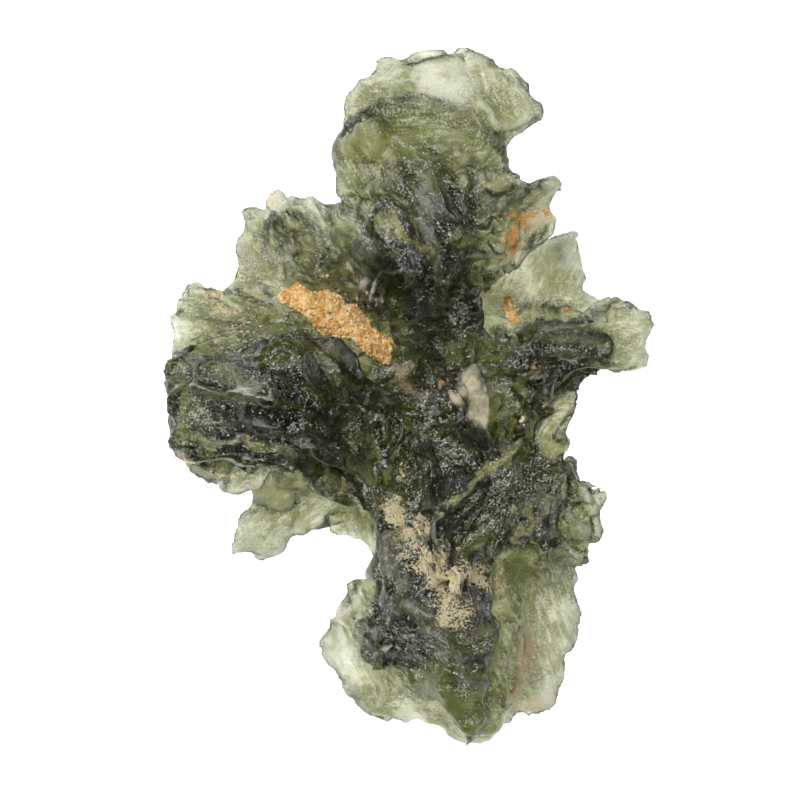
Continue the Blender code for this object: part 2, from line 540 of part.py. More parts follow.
def material(name, colour, roughness, transmission=0.0):
    made = bpy.data.materials.new(name)
    made.use_nodes = True
    surface = made.node_tree.nodes["Principled BSDF"]
    surface.inputs["Base Color"].default_value = (*colour, 1.0)
    surface.inputs["Roughness"].default_value = roughness
    surface.inputs["Metallic"].default_value = 0.0
    surface.inputs["Transmission Weight"].default_value = transmission
    return made


def finish(piece, look):
    piece.data.materials.clear()
    piece.data.materials.append(look)
    piece.data.shade_smooth()
    piece.data.set_sharp_from_angle(angle=math.radians(50))


def main():
    for old in list(bpy.data.objects):
        bpy.data.objects.remove(old)
    parts = bpy.data.collections.new("moldavite")
    cutters = bpy.data.collections.new("cutters")
    bpy.context.scene.collection.children.link(parts)
    bpy.context.scene.collection.children.link(cutters)
    glass = stone(parts, cutters)
    crusts = [clay(name, shape, glass, parts) for name, shape in CLAY.items()]
    stand_on_origin([glass, *crusts])
    finish(glass, material("moss green glass", (0.22, 0.27, 0.11), 0.3, 1.0))
    dried_clay = material("dried orange clay", (0.72, 0.42, 0.17), 0.95)
    for crust in crusts:
        finish(crust, dried_clay)



main()
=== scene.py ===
# An etched moldavite lying on a lit white table, seen from straight above.
# All shapes are in metres in the part's own frame: X across the stone, Y along it, Z up.
# Lists of places and sizes are in millimetres.

from functools import cache
from types import SimpleNamespace

import bmesh
import bpy
import numpy as np
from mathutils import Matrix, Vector


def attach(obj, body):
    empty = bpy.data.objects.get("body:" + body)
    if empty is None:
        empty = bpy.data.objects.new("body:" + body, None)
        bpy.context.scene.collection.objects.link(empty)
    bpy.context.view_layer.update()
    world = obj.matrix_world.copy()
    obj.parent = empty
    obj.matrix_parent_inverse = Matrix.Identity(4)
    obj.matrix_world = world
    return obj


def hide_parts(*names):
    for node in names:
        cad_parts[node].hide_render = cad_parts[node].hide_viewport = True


mm = 0.001

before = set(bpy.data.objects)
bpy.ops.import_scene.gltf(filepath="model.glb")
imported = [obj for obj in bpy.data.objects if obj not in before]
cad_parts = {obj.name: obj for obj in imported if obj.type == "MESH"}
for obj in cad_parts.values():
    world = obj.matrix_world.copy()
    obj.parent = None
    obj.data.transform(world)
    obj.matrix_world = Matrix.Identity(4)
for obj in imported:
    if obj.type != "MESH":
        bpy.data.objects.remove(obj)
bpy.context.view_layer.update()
print("frame loaded:", ", ".join(sorted(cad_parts)))


# Helpers for whole arrays of points.

def meshOf(piece):
    # the piece's mesh with its modifiers worked in
    graph = bpy.context.evaluated_depsgraph_get()
    return bpy.data.meshes.new_from_object(piece.evaluated_get(graph))


def bake(piece):
    # puts the piece's modifiers into its mesh
    mesh = meshOf(piece)
    piece.modifiers.clear()
    piece.data = mesh


def addPiece(name, mesh):
    piece = bpy.data.objects.new(name, mesh)
    bpy.context.scene.collection.objects.link(piece)
    return piece


def readBack(items, key, width=1, kind=np.float32):
    # one property of all these items, as a row of numbers or a table of this width
    flat = np.empty(len(items) * width, kind)
    items.foreach_get(key, flat)
    return flat.reshape(-1, width) if width > 1 else flat


def pointsOf(mesh):
    return readBack(mesh.vertices, "co", 3).astype(float)


def normalsOf(mesh):
    return readBack(mesh.vertex_normals, "vector", 3).astype(float)


def edgesOf(mesh):
    return readBack(mesh.edges, "vertices", 2, np.int32)


def setPoints(mesh, points):
    mesh.vertices.foreach_set("co", points.astype(np.float32).ravel())
    mesh.update()


def storeValue(mesh, name, values):
    # a number for each point, for the material to read
    made = mesh.attributes.get(name) or mesh.attributes.new(name, "FLOAT", "POINT")
    made.data.foreach_set("value", values.astype(np.float32))


def valuesOf(mesh, name):
    return readBack(mesh.attributes[name].data, "value").astype(float)


def storeVectors(mesh, name, vectors, domain):
    made = mesh.attributes.new(name, "FLOAT_VECTOR", domain)
    made.data.foreach_set("vector", vectors.astype(np.float32).ravel())


def rework(mesh, change):
    # lets a function change the mesh as a bmesh
    shape = bmesh.new()
    shape.from_mesh(mesh)
    change(shape)
    shape.to_mesh(mesh)
    shape.free()


def shadeSmooth(mesh):
    mesh.polygons.foreach_set("use_smooth", np.ones(len(mesh.polygons), bool))


def neighbourMean(values, edges, rounds=1):
    # each value becomes the mean of itself and its neighbours' values, again and again
    a, b = edges[:, 0], edges[:, 1]
    size = len(values)
    count = 1 + np.bincount(a, minlength=size) + np.bincount(b, minlength=size)
    columns = values.reshape(size, -1).copy()
    for _ in range(rounds):
        for k in range(columns.shape[1]):
            column = columns[:, k]
            around = np.bincount(a, column[b], size) + np.bincount(b, column[a], size)
            columns[:, k] = (column + around) / count
    return columns.reshape(values.shape)


def neighbourLeast(values, edges, rounds=1):
    # each value becomes the least of itself and its neighbours' values, again and again
    least = values.copy()
    for _ in range(rounds):
        before = least.copy()
        np.minimum.at(least, edges[:, 0], before[edges[:, 1]])
        np.minimum.at(least, edges[:, 1], before[edges[:, 0]])
    return least


def evenOut(points, edges, rounds):
    # moves each point towards its neighbours' middle and then back a little further, which takes facets
    # away and leaves thin rims their size
    for _ in range(rounds):
        points = points + 0.50 * (neighbourMean(points, edges) - points)
        points = points - 0.52 * (neighbourMean(points, edges) - points)
    return points


def unit(vectors):
    return vectors / np.maximum(np.linalg.norm(vectors, axis=-1, keepdims=True), 1e-12)


def hash01(cells, salt):
    # a number from 0 to 1 for each row of whole numbers, always the same for the same row
    primes = np.array([73856093, 19349663, 83492791], np.int64)[:cells.shape[1]]
    mixed = cells.astype(np.int64) @ primes + salt * 2654435761
    mixed = (mixed ^ (mixed >> 13)) * 1274126177
    mixed = mixed ^ (mixed >> 16)
    return (mixed & 0xFFFFFF) / float(0xFFFFFF)


def smoothNoise(places, size, salt):
    # value noise from -1 to 1: random numbers at the corners of cubes of this size, blended smoothly
    scaled = places / size
    base = np.floor(scaled).astype(np.int64)
    share = scaled - base
    share = share * share * (3 - 2 * share)
    total = np.zeros(len(places))
    for corner in np.ndindex(*[2] * places.shape[1]):
        step = np.array(corner)
        weight = np.prod(np.where(step == 1, share, 1 - share), axis=1)
        total += weight * hash01(base + step, salt)
    return 2 * total - 1


def pebbles(places, size, salt):
    # Half balls side by side: one ball in each cell of a grid, at a random place, with a random radius.
    # A place's height is that of the highest ball over it, sqrt(1 - (d / r)^2), from 0 to 1.
    cell = np.floor(places / size).astype(np.int64)
    height = np.zeros(len(places))
    for step in np.ndindex(3, 3):
        near = cell + np.array(step) - 1
        middle = (near + np.stack([hash01(near, salt), hash01(near, salt + 1)], 1)) * size
        radius = size * (0.45 + 0.4 * hash01(near, salt + 2))
        distance = np.linalg.norm(places - middle, axis=1) / radius
        height = np.maximum(height, np.sqrt(np.clip(1 - distance ** 2, 0, 1)) * radius / size)
    return height


def roundCurve(outline, count):
    # count points, evenly spaced, on a Catmull-Rom curve through a closed outline
    knots = np.array(outline, float)
    before, after, beyond = np.roll(knots, 1, 0), np.roll(knots, -1, 0), np.roll(knots, -2, 0)
    share = np.linspace(0, 1, 12, endpoint=False)[:, None, None]
    fine = 0.5 * (2 * knots + (after - before) * share
                  + (2 * before - 5 * knots + 4 * after - beyond) * share ** 2
                  + (3 * knots - before - 3 * after + beyond) * share ** 3)
    fine = fine.transpose(1, 0, 2).reshape(-1, 2)
    closed = np.vstack([fine, fine[:1]])
    along = np.concatenate([[0], np.cumsum(np.linalg.norm(np.diff(closed, axis=0), axis=1))])
    wanted = np.linspace(0, along[-1], count, endpoint=False)
    return np.stack([np.interp(wanted, along, closed[:, axis]) for axis in (0, 1)], 1)


def strokeReach(places, path):
    # How far inside a brush stroke each place lies: 1 on its line, 0 at its edge and less outside. A stroke
    # runs through (x, y, half width) points, and its half width changes evenly between them.
    best = np.full(len(places), -9.0)
    for start, end in zip(path, path[1:] or path):
        (x0, y0, w0), (x1, y1, w1) = start, end
        line = np.array((x1 - x0, y1 - y0))
        offset = places - (x0, y0)
        along = np.clip(offset @ line / max(line @ line, 1e-9), 0, 1)
        distance = np.linalg.norm(offset - along[:, None] * line, axis=1)
        best = np.maximum(best, 1 - distance / (w0 + (w1 - w0) * along))
    return best


def strokesReach(places, strokes):
    # the same for the nearest of several strokes
    return np.max([strokeReach(places, path) for path in strokes], axis=0)


def castRays(target, starts, ways, longest):
    # From each start a ray goes its way until it meets the target. Returns how far that is, or longest
    # where it meets nothing, and which way the skin that it meets faces.
    mesh = bpy.data.meshes.new("ray starts")
    mesh.vertices.add(len(starts))
    setPoints(mesh, starts)
    storeVectors(mesh, "way", ways, "POINT")
    caster = addPiece("ray starts", mesh)
    tree = bpy.data.node_groups.new("rays", "GeometryNodeTree")
    for side in ("INPUT", "OUTPUT"):
        tree.interface.new_socket("Geometry", in_out=side, socket_type="NodeSocketGeometry")
    add, link = tree.nodes.new, tree.links.new
    begin, end = add("NodeGroupInput"), add("NodeGroupOutput")
    skin = add("GeometryNodeObjectInfo")
    skin.inputs["Object"].default_value = target
    way = add("GeometryNodeInputNamedAttribute")
    way.data_type = "FLOAT_VECTOR"
    way.inputs["Name"].default_value = "way"
    ray = add("GeometryNodeRaycast")
    ray.inputs["Ray Length"].default_value = longest
    pick = add("GeometryNodeSwitch")
    pick.input_type = "FLOAT"
    pick.inputs["False"].default_value = longest
    link(skin.outputs["Geometry"], ray.inputs["Target Geometry"])
    link(way.outputs["Attribute"], ray.inputs["Ray Direction"])
    link(ray.outputs["Is Hit"], pick.inputs["Switch"])
    link(ray.outputs["Hit Distance"], pick.inputs["True"])
    passed = begin.outputs[0]
    wanted = (("far", "FLOAT", pick.outputs[0]), ("facing", "FLOAT_VECTOR", ray.outputs["Hit Normal"]))
    for name, kind, found in wanted:
        store = add("GeometryNodeStoreNamedAttribute")
        store.data_type = kind
        store.inputs["Name"].default_value = name
        link(passed, store.inputs["Geometry"])
        link(found, store.inputs["Value"])
        passed = store.outputs[0]
    link(passed, end.inputs[0])
    caster.modifiers.new("rays", "NODES").node_group = tree
    cast = meshOf(caster)
    far = valuesOf(cast, "far")
    facing = readBack(cast.attributes["facing"].data, "vector", 3).astype(float)
    bpy.data.objects.remove(caster)
    bpy.data.node_groups.remove(tree)
    bpy.data.meshes.remove(mesh)
    bpy.data.meshes.remove(cast)
    return far, facing


# The glass.

glass = dict(
    voxel=0.13 * mm,       # how finely the solid's skin is drawn again
    fineVoxel=0.105 * mm,  # and how finely once it is etched
    triangles=194000,      # what the finished skin is thinned to
    rounds=10,             # evening out of the facets
    longest=12 * mm,       # glass thicker than this counts as this thick
    heart=(0.4, 0.0, 6.4),  # mm: where the scoops run out from
    keep=0.3,              # the most that etching takes, as a share of the thickness
    growth=0.05 * mm,      # the skin stands out this much before it is etched
    traced=0.5,            # how much of the rough etching is left out of a traced groove
    windowed=0.4,          # and out of a window
    skin=0.01,             # mm: rays through the glass start this far inside it
    outside=0.02,          # mm: rays that look for open sky start this far outside it
    rim=1.6,               # how many times the least thickness near a point is weighed against its own
    orderly=0.12 * mm,     # a groove or ridge of this height counts in full
    gain=1.3,              # a mark's stroke counts in full this much before its middle line
    thinFrom=4.2,          # mm: glass thinner than this starts to count as thin
    thinOver=3,            # mm: and counts in full once it is thinner by this much more
    hollowRounds=12,       # how broadly the skin around a hollow is averaged
    hollowDepth=0.08 * mm,  # how deep a hollow is that counts in full
)

# How strokes get uneven edges: the noise's sizes in mm and its seeds, and how far it shifts each kind.
wobble = dict(sizes=(0.9, 0.35), seeds=(31, 32), grooves=0.5, marks=0.7)

# Grooves and bowls in the upper side: a stroke seen from above, as (x, y, half width), and its depth. A
# depth below 0 is a raised ridge.
grooves = dict(
    crownFlute=([(-2.8, 9.7, 0.25), (-1.8, 8.2, 0.45), (-0.8, 6.9, 0.5), (0.5, 5.4, 0.4)], 0.3),
    crownOliveValley=([(-0.8, 8.9, 0.3), (0.9, 7.4, 0.45), (2.1, 5.7, 0.35)], 0.2),
    crownBarUpper=([(-1.8, 10.4, 0.2), (-1.0, 10.0, 0.25), (-0.4, 9.6, 0.15)], 0.25),
    crownBarLower=([(-1.6, 9.4, 0.2), (-0.8, 9.1, 0.2), (-0.3, 8.7, 0.15)], 0.2),
    crownMidBowl=([(1.6, 12.5, 0.6), (2.7, 11.4, 0.6)], 0.2),
    crownWingBowl=([(2.4, 9.7, 0.6), (4.1, 10.5, 0.8), (6.1, 10.7, 0.5)], 0.25),
    crownWingFlute=([(2.1, 7.5, 0.3), (4.1, 8.7, 0.4), (5.6, 9.7, 0.3)], 0.2),
    capBowlLeft=([(-2.3, 15.7, 0.55)], 0.15),
    capDish=([(0.8, 15.8, 0.8), (2.4, 15.5, 1.2)], 0.6),
    capRightDish=([(4.6, 15.4, 0.75), (4.4, 14.0, 0.6)], 0.15),
    capStep=([(-1.8, 14.4, 0.2), (-0.1, 14.4, 0.3), (1.6, 13.7, 0.4), (3.4, 13.3, 0.3)], 0.3),
    pitUnderCrown=([(2.7, 5.6, 0.4), (4.1, 5.7, 0.6), (4.9, 6.1, 0.35)], 0.5),
    westCHollow=([(-10.9, 2.4, 0.3), (-10.3, 2.2, 0.4)], 0.3),
    westDrop=([(-6.4, 1.4, 0.3), (-6.2, 0.1, 0.4)], 0.3),
    westLowerHollow=([(-10.9, -0.6, 0.35), (-9.8, -0.9, 0.4), (-9.0, -1.2, 0.25)], 0.2),
    westGrooveA=([(-11.1, -1.8, 0.15), (-8.4, -1.9, 0.25), (-5.9, -2.6, 0.3), (-5.0, -3.5, 0.2)], 0.25),
    westGrooveB=([(-10.4, -2.5, 0.15), (-7.9, -2.8, 0.25), (-5.4, -3.7, 0.25)], 0.25),
    westGrooveC=([(-10.6, -3.1, 0.15), (-7.9, -3.7, 0.25), (-4.5, -4.4, 0.25)], 0.15),
    westRightHollow=([(-4.3, -1.2, 0.45), (-3.4, -1.4, 0.6)], 0.35),
    westBendFlute=([(-5.5, 3.0, 0.35), (-4.5, 1.4, 0.4), (-3.6, 0.2, 0.35)], 0.3),
    westInnerFlute=([(-3.4, 2.5, 0.3), (-2.3, 1.0, 0.45), (-1.5, -0.3, 0.35)], 0.3),
    middleFluteA=([(-0.5, -0.1, 0.25), (-0.5, -2.0, 0.3), (-0.8, -4.5, 0.25)], 0.3),
    middleFluteB=([(0.3, -0.4, 0.25), (0.4, -2.5, 0.3), (0.1, -4.9, 0.25)], 0.3),
    middleFluteC=([(-1.4, -0.8, 0.2), (-1.6, -2.8, 0.25), (-2.4, -4.5, 0.25)], 0.25),
    blackPit=([(1.6, -1.6, 0.45), (2.7, -2.0, 0.65), (3.4, -1.9, 0.4)], 0.7),
    pitSlope=([(0.9, -3.5, 0.35), (2.4, -3.1, 0.45)], 0.2),
    oliveRidgeA=([(5.4, -2.3, 0.25), (3.5, -4.1, 0.3), (1.7, -5.7, 0.25)], -0.25),
    silverHollow=([(4.9, -3.5, 0.4), (4.0, -4.9, 0.55), (3.4, -6.1, 0.35)], 0.4),
    oliveRidgeB=([(6.2, -4.6, 0.3), (5.5, -6.3, 0.4), (4.9, -7.6, 0.3)], -0.15),
    southEastBowl=([(7.6, -5.0, 0.45), (7.4, -6.5, 0.55), (7.0, -7.6, 0.4)], 0.3),
    overhang=([(4.6, -8.3, 0.3), (5.6, -8.6, 0.5), (6.5, -9.0, 0.35)], 0.5),
    southEastEdgeBowl=([(8.7, -4.9, 0.45), (9.0, -6.5, 0.45)], 0.2),
    southValley=([(-1.1, -6.5, 0.3), (-0.5, -9.0, 0.45), (0.4, -11.1, 0.5), (2.4, -11.7, 0.45),
                  (4.1, -12.0, 0.3)], 0.35),
    frostedPit=([(-0.5, -11.5, 0.45), (0.3, -11.9, 0.45)], 0.3),
    southBowlA=([(0.4, -14.5, 0.6), (0.9, -15.3, 0.5)], 0.2),
    southBowlB=([(2.6, -14.5, 0.7)], 0.2),
    southBowlC=([(4.6, -13.0, 0.5), (5.2, -13.6, 0.4)], 0.2),
    windowLeft=([(-3.1, -12.5, 0.55), (-2.3, -14.0, 0.6)], 0.2),
    stripPits=([(-1.8, -8.5, 0.25), (-2.1, -9.6, 0.3)], 0.2),
    disc=([(6.9, -13.4, 0.85)], 0.15),
    southEndBowl=([(3.1, -16.4, 0.6)], 0.15),
    eastDish=([(8.9, 2.9, 0.6), (10.9, 3.1, 0.6)], 0.25),
    eastRoot=([(6.6, 3.5, 0.4), (7.0, 1.5, 0.4)], 0.25),
    eastLower=([(8.4, 1.2, 0.3), (10.1, 2.0, 0.3)], 0.15),
    centreFlute=([(1.1, 3.5, 0.35), (3.1, 2.7, 0.4), (5.1, 3.1, 0.35)], 0.3),
    centreHollow=([(1.9, 4.4, 0.4)], 0.25),
    northwestBowl=([(-5.1, 9.4, 0.65), (-4.1, 8.0, 0.45)], 0.25),
    northwestCheek=([(-7.8, 8.0, 0.3), (-7.5, 6.2, 0.35)], 0.25),
    northwestGroove=([(-6.4, 6.9, 0.2), (-3.9, 6.4, 0.25)], 0.2),
    ridgeBowl=([(-10.6, 4.1, 0.4)], 0.15),
    fingerDish=([(-7.6, -6.6, 0.55), (-5.9, -6.0, 0.45)], 0.2),
    northeastDish=([(7.6, 6.9, 0.6)], 0.15),
    northeastVein=([(6.2, 5.6, 0.15), (7.6, 7.4, 0.25), (8.2, 8.2, 0.1)], 0.25),
    northeastVeinB=([(7.4, 5.4, 0.15), (8.3, 6.6, 0.25)], 0.2),
    fingerFlute=([(-8.2, -7.2, 0.15), (-6.8, -6.2, 0.3), (-5.2, -5.2, 0.2)], 0.25),
    apronFlute=([(7.8, -10.4, 0.2), (7.2, -12.0, 0.35), (6.2, -14.6, 0.3)], 0.25),
    apronFluteB=([(6.6, -9.9, 0.2), (6.2, -11.6, 0.3), (5.6, -13.0, 0.2)], 0.25),
    windowEdge=([(-3.9, -11.0, 0.2), (-2.6, -11.8, 0.3), (-1.9, -13.6, 0.35), (-1.2, -15.0, 0.2)], -0.3),
    capFill=([(-3.0, 12.6, 0.7), (-1.0, 13.2, 1.0), (1.6, 12.9, 1.0), (3.8, 12.4, 0.6)], -0.4),
)

# Where glass is added underneath, as strokes seen from above, and how much.
fills = dict(
    crownRoot=([(-3.4, 9.2, 0.8), (-3.1, 12.4, 1.1), (-0.5, 13.9, 1.3), (2.6, 13.6, 1.2),
                (4.4, 11.8, 0.9)], 0.8),
)

# Where clefts are grown shut, in the same way.
joins = dict(
    westBelly=([(-10.6, -3.3, 0.5), (-9.4, -3.9, 0.8), (-7.9, -4.3, 0.9), (-6.4, -4.8, 0.9)], 0.6),
    northwestCleft=([(-3.2, 9.5, 0.7), (-2.7, 8.3, 1.0), (-2.3, 7.2, 0.9)], 0.8),
)

# scoops: how many, radius in mm, depth as a share of it, and the most that they are drawn out
scoops = dict(count=360, radius=(0.6, 1.5), depth=(0.08, 0.25), stretch=3.0, seed=11)

# Flutes all over: width and depth in mm. Their lengths are their widths times fluteDraw, and they wander by
# fluteBend of their width in waves of fluteWave widths. They run the way of the nearest flow, which is
# (x, y), the way it runs in degrees from +X, and how far it reaches. Flows read noise flowApart mm apart.
flutes = [
    dict(width=1.6, depth=0.95, seed=14),
    dict(width=0.75, depth=0.30, seed=15),
    dict(width=0.32, depth=0.15, seed=16),
]
fluteDraw = 3.6
fluteBend = 0.25
fluteWave = 1.6
flowApart = 7.3
flows = [
    (-2.0, 10.5, -58, 2.6), (1.2, 9.0, -62, 2.4), (4.5, 9.5, 28, 2.2), (1.0, 15.0, 5, 2.6),
    (4.6, 15.0, -60, 1.8), (-5.5, 8.0, -55, 2.4), (-8.5, 5.0, -12, 2.4), (-9.0, 1.0, -8, 2.2),
    (-8.0, -2.6, -13, 2.6), (-4.2, 1.2, -58, 2.0), (-3.6, -2.4, -35, 2.0), (-0.4, -2.6, -92, 2.2),
    (3.2, 3.2, 12, 2.2), (8.8, 3.0, 5, 2.6), (7.0, 7.0, 70, 2.2), (3.2, -3.6, 42, 2.4),
    (5.4, -6.2, 62, 2.0), (7.8, -6.4, -82, 2.2), (-0.4, -8.6, -78, 2.2), (2.2, -11.6, -12, 2.2),
    (-3.0, -12.6, -70, 2.2), (2.0, -15.4, -8, 2.4), (6.4, -12.4, -68, 2.4), (-7.0, -6.4, 30, 2.4),
]

# Chips out of the rims: how many, radius in mm, depth as a share of it, and the most in mm. A chip's middle
# is where a point counts as less than start of the way in from a rim, and none reaches past stop.
rimChips = dict(count=420, radius=(0.25, 0.7), depth=(0.25, 0.6), most=0.4, start=0.5, stop=0.7, seed=13)

